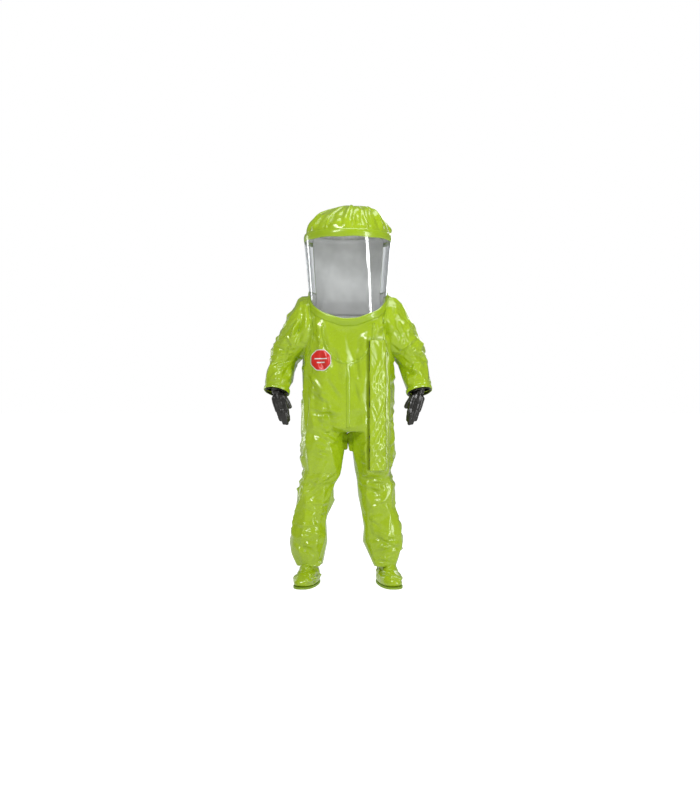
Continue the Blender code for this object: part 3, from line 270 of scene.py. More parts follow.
WHITE = smooth_material("patch_white", (0.86, 0.86, 0.84), 0.38, 0.10, 700.0, 0.0003, (0.80, 0.80, 0.78))


# ---------------------------------------------------------------- mesh helpers
def add_mesh(name, verts, faces, *materials):
    mesh = bpy.data.meshes.new(name)
    mesh.from_pydata([tuple(v) for v in verts], [], [tuple(f) for f in faces])
    mesh.update()
    obj = bpy.data.objects.new(name, mesh)
    bpy.context.scene.collection.objects.link(obj)
    for mat in materials:
        mesh.materials.append(mat)
    mesh.polygons.foreach_set("use_smooth", [True] * len(mesh.polygons))
    return obj


def shade_smooth(obj):
    obj.data.polygons.foreach_set("use_smooth", [True] * len(obj.data.polygons))


def remove(obj):
    bpy.data.objects.remove(obj)


def apply_modifiers(obj):
    """Gives obj the mesh that its modifiers make, and drops them."""
    graph = bpy.context.evaluated_depsgraph_get()
    made = bpy.data.meshes.new_from_object(obj.evaluated_get(graph), depsgraph=graph)
    obj.modifiers.clear()
    obj.data = made
    return obj


def subdivide(obj):
    """Rounds the mesh with one level of subdivision."""
    modifier = obj.modifiers.new("finer", "SUBSURF")
    modifier.levels = modifier.render_levels = 1
    apply_modifiers(obj)


def positions(obj):
    co = np.empty(len(obj.data.vertices) * 3, np.float32)
    obj.data.vertices.foreach_get("co", co)
    return co.reshape(-1, 3).astype(float)


def normals(obj):
    obj.data.update()
    no = np.empty(len(obj.data.vertices) * 3, np.float32)
    obj.data.vertex_normals.foreach_get("vector", no)
    return no.reshape(-1, 3).astype(float)


def place(obj, co):
    obj.data.vertices.foreach_set("co", co.astype(np.float32).ravel())
    obj.data.update()


def relax(obj, rounds, share=0.5):
    """Moves every vertex towards the mean of its neighbours."""
    edges = np.empty(len(obj.data.edges) * 2, np.int32)
    obj.data.edges.foreach_get("vertices", edges)
    edges = edges.reshape(-1, 2)
    co = positions(obj)
    count = np.zeros(len(co))
    np.add.at(count, edges[:, 0], 1)
    np.add.at(count, edges[:, 1], 1)
    for _ in range(rounds):
        total = np.zeros_like(co)
        np.add.at(total, edges[:, 0], co[edges[:, 1]])
        np.add.at(total, edges[:, 1], co[edges[:, 0]])
        co += (total / np.maximum(count, 1)[:, None] - co) * share
    place(obj, co)


def tree(obj):
    co = positions(obj)
    polys = [tuple(p.vertices) for p in obj.data.polygons]
    return BVHTree.FromPolygons([Vector(v) for v in co], polys)


def closed_loft(rings):
    """Vertices and faces of rings of equal count, with both ends closed."""
    count = len(rings[0])
    verts = [p for ring in rings for p in ring]
    faces = []
    for i in range(len(rings) - 1):
        for j in range(count):
            k = (j + 1) % count
            faces.append((i * count + j, i * count + k, (i + 1) * count + k, (i + 1) * count + j))
    faces.append(tuple(range(count))[::-1])
    faces.append(tuple((len(rings) - 1) * count + j for j in range(count)))
    return verts, faces


def grid_faces(rows, columns, closed=False):
    faces = []
    for i in range(rows - 1):
        for j in range(columns if closed else columns - 1):
            k = (j + 1) % columns
            faces.append((i * columns + j, i * columns + k, (i + 1) * columns + k, (i + 1) * columns + j))
    return faces


def hull(names):
    """Convex hull of some nodes, as vertices and faces."""
    bm = bmesh.new()
    for name in names:
        for vertex in NODES[name].data.vertices:
            bm.verts.new(vertex.co)
    bmesh.ops.convex_hull(bm, input=bm.verts[:])
    loose = [v for v in bm.verts if not v.link_faces]
    bmesh.ops.delete(bm, geom=loose, context="VERTS")
    bm.verts.ensure_lookup_table()
    bm.verts.index_update()
    verts = [v.co.copy() for v in bm.verts]
    faces = [[v.index for v in f.verts] for f in bm.faces]
    bm.free()
    return verts, faces


def voxel_union(name, parts, voxel, rounds):
    """One even quad skin round several closed bodies."""
    verts, faces = [], []
    for part_verts, part_faces in parts:
        start = len(verts)
        verts.extend(part_verts)
        faces.extend([[i + start for i in f] for f in part_faces])
    obj = add_mesh(name, verts, faces)
    bm = bmesh.new()
    bm.from_mesh(obj.data)
    bmesh.ops.recalc_face_normals(bm, faces=bm.faces[:])
    bm.to_mesh(obj.data)
    bm.free()
    modifier = obj.modifiers.new("skin", "REMESH")
    modifier.mode = "VOXEL"
    modifier.voxel_size = voxel
    apply_modifiers(obj)
    relax(obj, rounds)
    shade_smooth(obj)
    return obj


def spline(keys, t):
    """Smooth curve through equally spaced rows of numbers."""
    keys = np.asarray(keys, float)
    t = min(max(t, 0.0), len(keys) - 1.000001)
    i = int(t)
    f = t - i
    a, b = keys[i], keys[i + 1]
    before = keys[max(i - 1, 0)]
    after = keys[min(i + 2, len(keys) - 1)]
    m0, m1 = (b - before) / 2, (after - a) / 2
    return ((2 * f ** 3 - 3 * f ** 2 + 1) * a + (f ** 3 - 2 * f ** 2 + f) * m0
            + (-2 * f ** 3 + 3 * f ** 2) * b + (f ** 3 - f ** 2) * m1)


def super_ring(centre, first, second, square=2.0, count=64):
    """Rounded ring from two half axes: round at 2, squarer above."""
    points = []
    for j in range(count):
        angle = 2 * math.pi * j / count
        c, s = math.cos(angle), math.sin(angle)
        reach = (abs(c) ** square + abs(s) ** square) ** (-1 / square)
        points.append(centre + first * (c * reach) + second * (s * reach))
    return points


# ---------------------------------------------------------------- folds
def smooth_noise(points, scale, seed):
    shift = Vector((seed * 7.3, seed * 3.1, seed * 5.7))
    return np.array([noise.noise(Vector(p) * scale + shift) for p in points])


def seen_point(bvh, side, u, z):
    """Where a ray from the front, back, left or right meets the skin, and its normal."""
    start, ray = {
        "F": ((u, -1.0, z), (0, 1, 0)), "B": ((u, 1.0, z), (0, -1, 0)),
        "L": ((1.0, u, z), (-1, 0, 0)), "R": ((-1.0, u, z), (1, 0, 0)),
    }[side]
    hit, normal, _, _ = bvh.ray_cast(Vector(start), Vector(ray))
    return hit, normal


def fold_zone(side, centre, spread, angle, swing, length, width, depth, count):
    """Random creases round a place: their angle is from level, in degrees."""
    made = []
    for _ in range(count):
        u = centre[0] + RNG.normal() * spread[0]
        z = centre[1] + RNG.normal() * spread[1]
        turn = math.radians(angle + RNG.normal() * swing)
        half = RNG.uniform(*length) / 2
        a = (u - math.cos(turn) * half, z - math.sin(turn) * half)
        b = (u + math.cos(turn) * half, z + math.sin(turn) * half)
        made.append((side, *a, *b, RNG.uniform(*width), RNG.uniform(*depth)))
    return made


def press_folds(co, no, bvh, folds, mask):
    """Moves points along their normals into creases: a crest with a valley beside it."""
    moved = np.zeros(len(co))
    for side, u0, z0, u1, z1, width, depth in folds:
        steps = []
        for t in (0.0, 0.5, 1.0):
            hit, normal = seen_point(bvh, side, u0 + (u1 - u0) * t, z0 + (z1 - z0) * t)
            if hit is not None:
                steps.append((np.array(hit), np.array(normal)))
        if len(steps) < 3:
            continue
        lowest = np.minimum.reduce([s[0] for s in steps]) - 3 * width
        highest = np.maximum.reduce([s[0] for s in steps]) + 3 * width
        near = np.all((co > lowest) & (co < highest), axis=1)
        if not near.any():
            continue
        points = co[near]
        best = np.full(len(points), 1e9)
        across = np.zeros(len(points))
        place_along = np.zeros(len(points))
        for index in (0, 1):
            a, normal_a = steps[index]
            b, _ = steps[index + 1]
            line = b - a
            size = np.linalg.norm(line)
            if size < 1e-4:
                continue
            t = np.clip((points - a) @ line / size ** 2, 0, 1)
            away = points - (a + t[:, None] * line)
            distance = np.linalg.norm(away, axis=1)
            side_way = np.cross(line / size, normal_a)
            closer = distance < best
            best[closer] = distance[closer]
            across[closer] = (away @ side_way)[closer]
            place_along[closer] = ((index + t) / 2)[closer]
        taper = np.sin(np.pi * np.clip(place_along, 0.0, 1.0)) ** 0.6
        crest = np.clip(1 - best / width, 0, 1) ** 1.15
        valley = np.exp(-((across - 1.25 * width) / (0.75 * width)) ** 2) * (best < 3 * width)
        facing = np.clip(no[near] @ steps[1][1], 0, 1) ** 0.5
        moved[near] += FOLD_DEPTH * depth * taper * facing * (crest - 0.65 * valley)
    return moved * mask


def facet(obj, count, jitter, co, no, seed):
    """How far each point lies from a coarse, jittered triangle skin: flat facets with sharp ridges."""
    coarse = add_mesh("coarse", positions(obj), [tuple(p.vertices) for p in obj.data.polygons])
    modifier = coarse.modifiers.new("few", "DECIMATE")
    modifier.ratio = count / max(1, 2 * len(coarse.data.polygons))
    apply_modifiers(coarse)
    random = np.random.default_rng(seed)
    points, outward = positions(coarse), normals(coarse)
    points = points + outward * (random.uniform(-1, 1, len(points)) * jitter + 0.35 * jitter)[:, None]
    place(coarse, points)
    bvh = tree(coarse)
    remove(coarse)
    away = np.zeros(len(co))
    for index, (point, normal) in enumerate(zip(co, no)):
        start = Vector(point + normal * 0.05)
        hit, _, _, _ = bvh.ray_cast(start, Vector(-normal), 0.10)
        if hit is not None:
            away[index] = (Vector(point) - hit).dot(Vector(-normal))
    return np.clip(away, -3 * jitter, 3 * jitter)


def crumple(obj, pins, growth, frames, limit):
    """Lets the skin buckle as cloth that is slightly too large, then fixes the result."""
    rest = positions(obj)
    obj.shape_key_add(name="Basis")
    key = obj.shape_key_add(name="cut")
    middle = np.array([0.0, 0.0, 1.0])
    key.data.foreach_set("co", (middle + (rest - middle) * np.array(growth)).astype(np.float32).ravel())
    group = obj.vertex_groups.new(name="held")
    levels = np.round(np.clip(pins, 0, 1) * 20) / 20
    for level in np.unique(levels):
        if level > 0:
            group.add([int(i) for i in np.nonzero(levels == level)[0]], float(level), "REPLACE")
    modifier = obj.modifiers.new("cloth", "CLOTH")
    settings = modifier.settings
    settings.quality = 4
    settings.mass = 0.25
    settings.tension_stiffness = 40
    settings.compression_stiffness = 40
    settings.shear_stiffness = 12
    settings.bending_stiffness = 1.2
    settings.tension_damping = 20
    settings.compression_damping = 20
    settings.shear_damping = 10
    settings.air_damping = 6
    settings.vertex_group_mass = "held"
    settings.pin_stiffness = 0.6
    settings.rest_shape_key = key
    settings.effector_weights.gravity = 0.15
    modifier.collision_settings.use_collision = False
    modifier.point_cache.frame_start = 1
    modifier.point_cache.frame_end = frames
    scene = bpy.context.scene
    for step in range(1, frames + 1):
        scene.frame_set(step)
    graph = bpy.context.evaluated_depsgraph_get()
    made = bpy.data.meshes.new_from_object(obj.evaluated_get(graph), depsgraph=graph)
    obj.modifiers.clear()
    obj.shape_key_clear()
    obj.vertex_groups.clear()
    obj.data = made
    scene.frame_set(1)
    settled = positions(obj)
    shift = settled - rest
    size = np.linalg.norm(shift, axis=1)
    size[~np.isfinite(size)] = 0
    shift[~np.isfinite(shift)] = 0
    shift *= np.minimum(1.0, limit / np.maximum(size, 1e-9))[:, None]
    place(obj, rest + shift)
    relax(obj, 1, 0.25)


# ---------------------------------------------------------------- forms
LEG_ROWS = {
    # height, inner and outer reach, middle and half of the depth
    1.0: ((0.860, 0.020, 0.226, 0.000, 0.128), (0.768, 0.024, 0.233, 0.000, 0.124),
          (0.694, 0.032, 0.240, 0.000, 0.121), (0.634, 0.037, 0.228, 0.000, 0.115),
          (0.573, 0.035, 0.219, 0.000, 0.104), (0.513, 0.050, 0.236, -0.004, 0.096),
          (0.452, 0.061, 0.238, -0.002, 0.091), (0.391, 0.074, 0.243, 0.000, 0.088),
          (0.331, 0.078, 0.257, 0.000, 0.087), (0.270, 0.081, 0.270, 0.000, 0.089),
          (0.210, 0.089, 0.277, 0.000, 0.092), (0.150, 0.108, 0.268, -0.002, 0.084),
          (0.080, 0.136, 0.246, -0.006, 0.066)),
    -1.0: ((0.860, 0.020, 0.226, 0.000, 0.128), (0.768, 0.025, 0.245, 0.000, 0.124),
           (0.694, 0.034, 0.238, 0.000, 0.121), (0.634, 0.039, 0.236, 0.000, 0.115),
           (0.573, 0.045, 0.231, 0.000, 0.104), (0.513, 0.079, 0.251, -0.004, 0.096),
           (0.452, 0.077, 0.258, -0.002, 0.091), (0.391, 0.091, 0.264, 0.000, 0.088),
           (0.331, 0.104, 0.281, 0.000, 0.087), (0.270, 0.109, 0.287, 0.000, 0.089),
           (0.210, 0.109, 0.284, 0.000, 0.092), (0.150, 0.119, 0.270, -0.002, 0.084),
           (0.080, 0.138, 0.248, -0.006, 0.066)),
}
SLEEVE_ROWS = (
    # outer x and z, inner x and z, middle and half of the depth
    (0.110, 1.475, 0.110, 1.200, 0.000, 0.118), (0.232, 1.476, 0.190, 1.165, 0.002, 0.124),
    (0.290, 1.408, 0.230, 1.158, 0.006, 0.119), (0.336, 1.338, 0.250, 1.150, 0.011, 0.109),
    (0.370, 1.268, 0.262, 1.136, 0.016, 0.098), (0.399, 1.205, 0.272, 1.112, 0.017, 0.088),
    (0.408, 1.145, 0.281, 1.084, 0.006, 0.081), (0.417, 1.085, 0.290, 1.050, -0.014, 0.076),
    (0.424, 1.030, 0.300, 1.007, -0.036, 0.068), (0.4275, 0.996, 0.306, 0.973, -0.051, 0.064),
)


def leg_form(side):
    rings = []
    rows = LEG_ROWS[side]
    steps = 60
    for i in range(steps + 1):
        z, inner, outer, middle, half = spline(rows, i / steps * (len(rows) - 1))
        centre = Vector(((inner + outer) / 2 * side, middle, z))
        rings.append(super_ring(centre, Vector(((outer - inner) / 2, 0, 0)), Vector((0, half, 0)), 2.3, 48))
    return closed_loft(rings)


def sleeve_form(side):
    rings = []
    steps = 50
    for i in range(steps + 1):
        ox, oz, ix, iz, middle, half = spline(SLEEVE_ROWS, i / steps * (len(SLEEVE_ROWS) - 1))
        centre = Vector(((ox + ix) / 2 * side, middle, (oz + iz) / 2))
        first = Vector(((ox - ix) / 2 * side, 0, (oz - iz) / 2))
        tilt = -0.30 * min(1.0, i / steps)
        second = Vector((0, half, tilt * half * 0.5))
        rings.append(super_ring(centre, first, second, 2.1, 48))
    return closed_loft(rings)


def visor_edge(angle):
    turn = min(abs(angle), math.pi / 2)
    return VISOR_LOW + (HOOD_BASE - VISOR_LOW) * (1 - math.cos(turn))


def closure_frame():
    """Top, axes and half sizes of the storm flap, from its own mesh."""
    co = positions(NODES["storm_flap"])
    middle = co.mean(axis=0)
    _, _, axes = np.linalg.svd(co - middle, full_matrices=False)
    along, across, out = axes
    if along[2] > 0:
        along = -along
    if across[0] < 0:
        across = -across
    if out[1] > 0:
        out = -out
    local = (co - middle) @ np.array([along, across, out]).T
    low, high = local.min(axis=0), local.max(axis=0)
    return middle, along, across, out, low, high


C_MID, C_ALONG, C_ACROSS, C_OUT, C_LOW, C_HIGH = closure_frame()
LOCAL = np.array([C_ALONG, C_ACROSS, C_OUT])
TAPE_FLOOR = float(min(((positions(NODES[n]) - C_MID) @ C_OUT).min()
                       for n in ("zipper_tape_inboard", "zipper_tape_outboard")))


def keep_under_closure(co):
    """Draws the skin to the plane just behind the zipper's tapes, and smoothly round it."""
    local = (co - C_MID) @ LOCAL.T
    outside = np.zeros(len(co))
    for axis in (0, 1):
        beyond = np.maximum(C_LOW[axis] - local[:, axis], local[:, axis] - C_HIGH[axis])
        outside += np.clip(beyond, 0, None) ** 2
    share = np.clip(1 - np.sqrt(outside) / 0.050, 0, 1)
    share = share * share * (3 - 2 * share) * (np.abs(local[:, 2]) < 0.07)
    shift = (TAPE_FLOOR - 0.0035 - local[:, 2]) * share
    return co + np.outer(shift, C_OUT), np.clip((share - 0.75) / 0.2, 0, 1)


def torso_form():
    """Hull of the body panels, cut off just above the crotch, so that the thighs stay apart."""
    verts, faces = hull(["front_panel_left", "front_panel_right", "back_panel"])
    bm = bmesh.new()
    points = [bm.verts.new(v) for v in verts]
    for face in faces:
        bm.faces.new([points[k] for k in face])
    bmesh.ops.bisect_plane(bm, geom=bm.verts[:] + bm.edges[:] + bm.faces[:], dist=1e-6,
                           plane_co=(0, 0, CROTCH + 0.012), plane_no=(0, 0, -1), clear_outer=True)
    bmesh.ops.holes_fill(bm, edges=bm.edges[:])
    bmesh.ops.triangulate(bm, faces=bm.faces[:])
    bm.verts.index_update()
    made = ([v.co.copy() for v in bm.verts], [[v.index for v in f.verts] for f in bm.faces])
    bm.free()
    return made


# ---------------------------------------------------------------- body and hood skin
body = voxel_union("suit_skin", [
    torso_form(),
    hull(["visor", "hood_back", "visor_upper_trim"]),
    leg_form(1.0), leg_form(-1.0),
], BODY_VOXEL, 7)
BASE = tree(body)


def hood_point(angle, z, offset, bvh=None):
    """Point on the smooth hood or body at an angle from the front."""
    ray = Vector((math.sin(angle), -math.cos(angle), 0))
    hit, _, _, _ = (bvh or BASE).ray_cast(Vector((0, 0, z)) + ray * 0.8, -ray)
    if hit is None:
        hit = Vector((0, 0, z)) + ray * 0.2
    return hit + ray * offset


BODY_FOLDS = []
for side in (1, -1):
    for face in "FB":
        # armpit and shoulder folds run down and in from the sleeve's root
        BODY_FOLDS += fold_zone(face, (0.165 * side, 1.270), (0.026, 0.055), 62 * side, 20,
                                (0.08, 0.17), (0.012, 0.020), (0.006, 0.011), 6)
        BODY_FOLDS += fold_zone(face, (0.150 * side, 1.130), (0.035, 0.040), 40 * side, 24,
                                (0.07, 0.14), (0.012, 0.020), (0.004, 0.008), 4)
        # hips and thighs
        BODY_FOLDS += fold_zone(face, (0.120 * side, 0.875), (0.050, 0.035), 14 * side, 16,
                                (0.07, 0.15), (0.012, 0.020), (0.004, 0.008), 5)
        BODY_FOLDS += fold_zone(face, (0.075 * side, 0.765), (0.030, 0.030), 38 * side, 14,
                                (0.07, 0.13), (0.011, 0.018), (0.005, 0.009), 5)
        BODY_FOLDS += fold_zone(face, (0.130 * side, 0.665), (0.040, 0.045), 15 * side, 30,
                                (0.07, 0.14), (0.011, 0.019), (0.004, 0.008), 7)
        # behind and above the knee
        BODY_FOLDS += fold_zone(face, (0.145 * side, 0.520), (0.045, 0.034), -6 * side, 18,
                                (0.08, 0.16), (0.010, 0.017), (0.006, 0.011), 10)
        # shin and slumped folds over the ankle
        BODY_FOLDS += fold_zone(face, (0.170 * side, 0.390), (0.045, 0.040), 10 * side, 30,
                                (0.07, 0.13), (0.010, 0.017), (0.004, 0.008), 7)
        BODY_FOLDS += fold_zone(face, (0.185 * side, 0.240), (0.050, 0.036), 8 * side, 20,
                                (0.08, 0.16), (0.010, 0.018), (0.006, 0.011), 10)
        BODY_FOLDS += fold_zone(face, (0.195 * side, 0.145), (0.040, 0.014), 0, 10,
                                (0.08, 0.15), (0.009, 0.014), (0.005, 0.009), 6)
    word = "L" if side > 0 else "R"
    BODY_FOLDS += fold_zone(word, (0.0, 0.990), (0.080, 0.080), 8, 22,
                            (0.10, 0.20), (0.013, 0.022), (0.004, 0.009), 8)
    BODY_FOLDS += fold_zone(word, (0.0, 0.700), (0.050, 0.080), 4, 22,
                            (0.07, 0.14), (0.012, 0.018), (0.004, 0.008), 7)
    BODY_FOLDS += fold_zone(word, (0.0, 0.520), (0.035, 0.035), 0, 14,
                            (0.08, 0.14), (0.010, 0.016), (0.005, 0.009), 6)
    BODY_FOLDS += fold_zone(word, (0.0, 0.260), (0.035, 0.070), 0, 16,
                            (0.07, 0.13), (0.010, 0.016), (0.005, 0.009), 9)
# waist crease on the wearer's right, hip fold, and long creases on the back
BODY_FOLDS += [
    ("F", -0.205, 1.085, -0.120, 0.975, 0.020, 0.010), ("F", -0.200, 1.020, -0.090, 0.930, 0.018, 0.008),
    ("F", -0.190, 0.905, -0.040, 0.875, 0.018, 0.009), ("F", -0.095, 1.060, -0.030, 0.960, 0.015, 0.006),
    ("F", 0.035, 1.060, 0.085, 0.900, 0.015, 0.006), ("F", 0.205, 0.960, 0.200, 0.860, 0.016, 0.007),
    ("F", -0.060, 1.210, -0.020, 1.100, 0.014, 0.004), ("F", 0.050, 1.200, 0.070, 1.050, 0.016, 0.006),
    ("B", -0.160, 1.330, -0.060, 1.120, 0.022, 0.009), ("B", 0.160, 1.330, 0.060, 1.120, 0.022, 0.009),
    ("B", -0.150, 1.020, 0.120, 0.985, 0.024, 0.010), ("B", -0.110, 0.930, 0.160, 0.955, 0.022, 0.010),
    ("B", -0.060, 1.420, -0.020, 1.260, 0.020, 0.006), ("B", 0.070, 1.430, 0.030, 1.230, 0.020, 0.006),
    ("B", -0.100, 0.850, -0.020, 0.790, 0.018, 0.009), ("B", 0.100, 0.850, 0.020, 0.790, 0.018, 0.009),
]


def body_mask(co):
    """How freely the body skin may fold: not at all round the visor and its trims."""
    angle = np.arctan2(co[:, 0], -co[:, 1])
    turn = np.minimum(np.abs(angle), math.pi / 2)
    edge = VISOR_LOW + (HOOD_BASE - VISOR_LOW) * (1 - np.cos(turn))
    above = np.clip((edge - 0.030 - co[:, 2]) / 0.040, 0, 1)
    back = np.clip((np.abs(angle) - VISOR_WRAP - 0.10) / 0.25, 0, 1)
    back *= np.clip((VISOR_TOP - 0.02 - co[:, 2]) / 0.05, 0, 1)
    back *= np.clip(np.abs(co[:, 2] - 1.63) / 0.07 - 0.3, 0.12, 1)
    return np.clip(np.maximum(above, back * 0.6), 0, 1)


co, no = positions(body), normals(body)
mask = body_mask(co)
co, near = keep_under_closure(co)
mask *= 1 - near
slow = smooth_noise(co, 6.0, 1) * 0.010 + smooth_noise(co, 13.0, 2) * 0.005
co = co + no * ((0.0015 + slow * mask)[:, None])
place(body, co)
pins = np.where(mask < 0.35, 1.0, 0.10)
crumple(body, pins, (1.006, 1.006, 1.010), 12, 0.005)

subdivide(body)
co, no = positions(body), normals(body)
mask = body_mask(co)
co, near = keep_under_closure(co)
mask *= 1 - near
flat = facet(body, 1300, 0.0075, co, no, 21)
ridges = press_folds(co, no, BASE, BODY_FOLDS, mask)
small = facet(body, 4200, 0.0013, co, no, 22)
co = co + no * (((flat + small * 0.4) * mask + ridges * 0.75)[:, None])
place(body, co)
relax(body, 1, 0.35)
co, _ = keep_under_closure(positions(body))
place(body, co)
BODY_TREE = tree(body)


def cut_plane(obj, point, direction, name, *materials):
    """Splits obj at a plane: the part that direction points to becomes a new object."""
    parts = []
    for inner in (False, True):
        bm = bmesh.new()
        bm.from_mesh(obj.data)
        bmesh.ops.bisect_plane(bm, geom=bm.verts[:] + bm.edges[:] + bm.faces[:], dist=1e-6,
                               plane_co=point, plane_no=direction, clear_inner=inner, clear_outer=not inner)
        mesh = bpy.data.meshes.new(name)
        bm.to_mesh(mesh)
        bm.free()
        parts.append(mesh)
    made = bpy.data.objects.new(name, parts[1])
    bpy.context.scene.collection.objects.link(made)
    obj.data = parts[0]
    return made


def merge_close(obj, distance):
    bm = bmesh.new()
    bm.from_mesh(obj.data)
    bmesh.ops.remove_doubles(bm, verts=bm.verts[:], dist=distance)
    bm.to_mesh(obj.data)
    bm.free()


def delete_faces(obj, test):
    """Removes faces whose middle answers the test."""
    bm = bmesh.new()
    bm.from_mesh(obj.data)
    gone = [f for f in bm.faces if test(f.calc_center_median())]
    bmesh.ops.delete(bm, geom=gone, context="FACES")
    bm.to_mesh(obj.data)
    bm.free()


def thicken(obj, thickness, inside=True):
    modifier = obj.modifiers.new("wall", "SOLIDIFY")
    modifier.thickness = thickness
    modifier.offset = -1
    modifier.material_offset = 1 if inside else 0
    modifier.material_offset_rim = 0
    apply_modifiers(obj)


def dress(obj, *materials):
    obj.data.materials.clear()
    for mat in materials:
        obj.data.materials.append(mat)
    shade_smooth(obj)


def in_window(c):
    angle = math.atan2(c[0], -c[1])
    if c[2] > CROWN_START + 0.004:
        return True
    return abs(angle) < VISOR_WRAP and c[2] > visor_edge(angle) and c[2] < VISOR_TOP + 0.02


delete_faces(body, in_window)
legs = cut_plane(body, (0, 0, KNEE_CUT), (0, 0, -1), "legs")
right_leg = cut_plane(legs, (0, 0, 0), (-1, 0, 0), "leg_skin_right")
legs.name = "leg_skin_left"
for word, leg in (("left", legs), ("right", right_leg)):
    low = cut_plane(leg, (0, 0, HEM_Z), (0, 0, -1), "scrap")
    remove(low)
    dress(leg, FILM, INNER)
    thicken(leg, SHELL)
    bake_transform(leg)
    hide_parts("knee_folds_" + word, "shin_" + word, "boot_flap_" + word)
dress(body, FILM, INNER)
body.name = "body_skin"
thicken(body, SHELL)
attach(body, "suit_body")
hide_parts("front_panel_left", "front_panel_right", "back_panel", "hood_back",
            "thigh_left", "thigh_right", "bib_panel")


# ---------------------------------------------------------------- visor, trims and crown
def wrapped(name, angles, heights, offset, material, thickness=None):
    """Sheet round the hood: heights(angle, t) gives its height for t from 0 to 1."""
    verts = []
    rows = heights[1]
    for i in range(rows):
        t = i / (rows - 1)
        for angle in angles:
            verts.append(hood_point(angle, heights[0](angle, t), offset(t)))
    obj = add_mesh(name, verts, grid_faces(rows, len(angles)), material)
    if thickness:
        modifier = obj.modifiers.new("wall", "SOLIDIFY")
        modifier.thickness = thickness
        modifier.offset = 1
        apply_modifiers(obj)
        shade_smooth(obj)
    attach(obj, "suit_body")
    return obj


def arc(half, count):
    return [-half + 2 * half * i / (count - 1) for i in range(count)]


def visor_height(angle, t):
    low = visor_edge(angle) - 0.012
    return low + (VISOR_TOP + 0.012 - low) * t


visor = wrapped("visor_sheet", arc(VISOR_WRAP + 0.03, 150), (visor_height, 60), lambda t: 0.0012, VISOR,
                thickness=0.0010)
relax(visor, 2)
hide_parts("visor")


def domed(t, rise, base):
    """Cross-section of a folded band: raised in the middle, with rolled edges."""
    return base + rise * (1 - (2 * t - 1) ** 6)


upper = wrapped("visor_upper_band", arc(math.pi, 240),
                (lambda a, t: VISOR_TOP - 0.002 + (TRIM_HEIGHT + 0.004) * t + 0.0015 * math.sin(a * 9), 12),
                lambda t: domed(t, 0.0026, 0.0010), FILM_TRIM)
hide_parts("visor_upper_trim")
lower = wrapped("visor_lower_band", arc(math.radians(150), 220),
                (lambda a, t: visor_edge(a) - 0.034 + 0.042 * t + 0.0012 * math.sin(a * 13 + 1), 12),
                lambda t: domed(t, 0.0085, 0.0008), FILM_TRIM)
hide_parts("visor_lower_trim")
for sign, word in ((1, "left"), (-1, "right")):
    band = wrapped("visor_side_seam_" + word, [sign * (VISOR_WRAP + 0.010 + 0.010 * k) for k in range(-2, 5)],
                   (lambda a, t: HOOD_BASE - 0.01 + (VISOR_TOP - HOOD_BASE + 0.02) * t, 60),
                   lambda t: 0.0030, FILM_TRIM)
    band.data.materials.append(INNER)
    thicken(band, 0.0008)

# height, middle and radius of the crown
CROWN_ROWS = (
    (1.790, 0.000, 0.2195), (1.815, 0.0020, 0.2150), (1.846, 0.004, 0.1985), (1.876, 0.0075, 0.1760),
    (1.906, 0.018, 0.1390), (1.932, 0.030, 0.0860), (1.9435, 0.022, 0.0360), (1.9470, 0.012, 0.0001),
)


def make_crown():
    rows, columns = 64, 220
    verts = []
    pleats = [(RNG.uniform(0, 2 * math.pi), RNG.uniform(0.035, 0.085), RNG.uniform(0.004, 0.0095),
               RNG.uniform(0.35, 0.85)) for _ in range(44)]
    for i in range(rows):
        t = i / (rows - 1)
        z, middle, radius = spline(CROWN_ROWS, t * (len(CROWN_ROWS) - 1))
        for j in range(columns):
            angle = 2 * math.pi * j / columns
            lift = 0.0
            for where, width, height, reach in pleats:
                away = abs((angle - where + math.pi) % (2 * math.pi) - math.pi)
                wide = width * (1 + 0.8 * t)
                if away < 2.5 * wide and t < reach:
                    along = math.sin(math.pi * min(1.0, (t / reach))) ** 0.7
                    crest = max(0.0, 1 - away / wide) ** 1.1
                    valley = 0.45 * math.exp(-((away - 1.5 * wide) / (0.6 * wide)) ** 2)
                    lift += height * along * (crest - valley)
            point = Vector((math.sin(angle) * radius, -math.cos(angle) * radius, z))
            wave = noise.noise(point * 11) * 0.011 + noise.noise(point * 24 + Vector((3, 1, 2))) * 0.005
            fade = min(1.0, t * 7) * min(1.0, (1 - t) * 4 + 0.15)
            rise = (wave + lift) * fade
            outward = Vector((point.x, point.y, (z - 1.72) * 1.1)).normalized()
            point = point + outward * rise
            point.x += middle
            point.z = min(point.z, CROWN_TOP + 0.001)
            verts.append(point)
    crown = add_mesh("hood_crown_skin", verts, grid_faces(rows, columns, True), FILM)
    merge_close(crown, 0.0004)
    crown.data.materials.append(INNER)
    thicken(crown, SHELL)
    crown.data.polygons.foreach_set("use_smooth", [True] * len(crown.data.polygons))
    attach(crown, "suit_body")
    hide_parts("hood_crown")


make_crown()


def make_liner():
    """Pale inner film down the back of the hood, hung clear of the exhaust valves."""
    rows, columns = 40, 60
    half = math.pi - VISOR_WRAP + math.radians(2)
    verts = []
    for i in range(rows):
        t = i / (rows - 1)
        z = HOOD_BASE - 0.10 + (CROWN_START - HOOD_BASE + 0.11) * t
        for j in range(columns):
            s = 2 * j / (columns - 1) - 1
            hang = (1 - abs(s) ** 3) * min(1.0, 6 * t, 6 * (1 - t))
            verts.append(hood_point(math.pi + half * s, z, -0.0026 - 0.027 * hang))
    liner = add_mesh("hood_liner", verts, grid_faces(rows, columns), INNER)
    thicken(liner, 0.0008, inside=False)
    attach(liner, "suit_body")


make_liner()


# ---------------------------------------------------------------- seams, patch and flap
def front_point(x, z, offset, bvh=None):
    hit, _ = seen_point(bvh or BODY_TREE, "F", x, z)
    if hit is None:
        return Vector((x, -0.16, z))
    return hit + Vector((0, -1, 0)) * offset


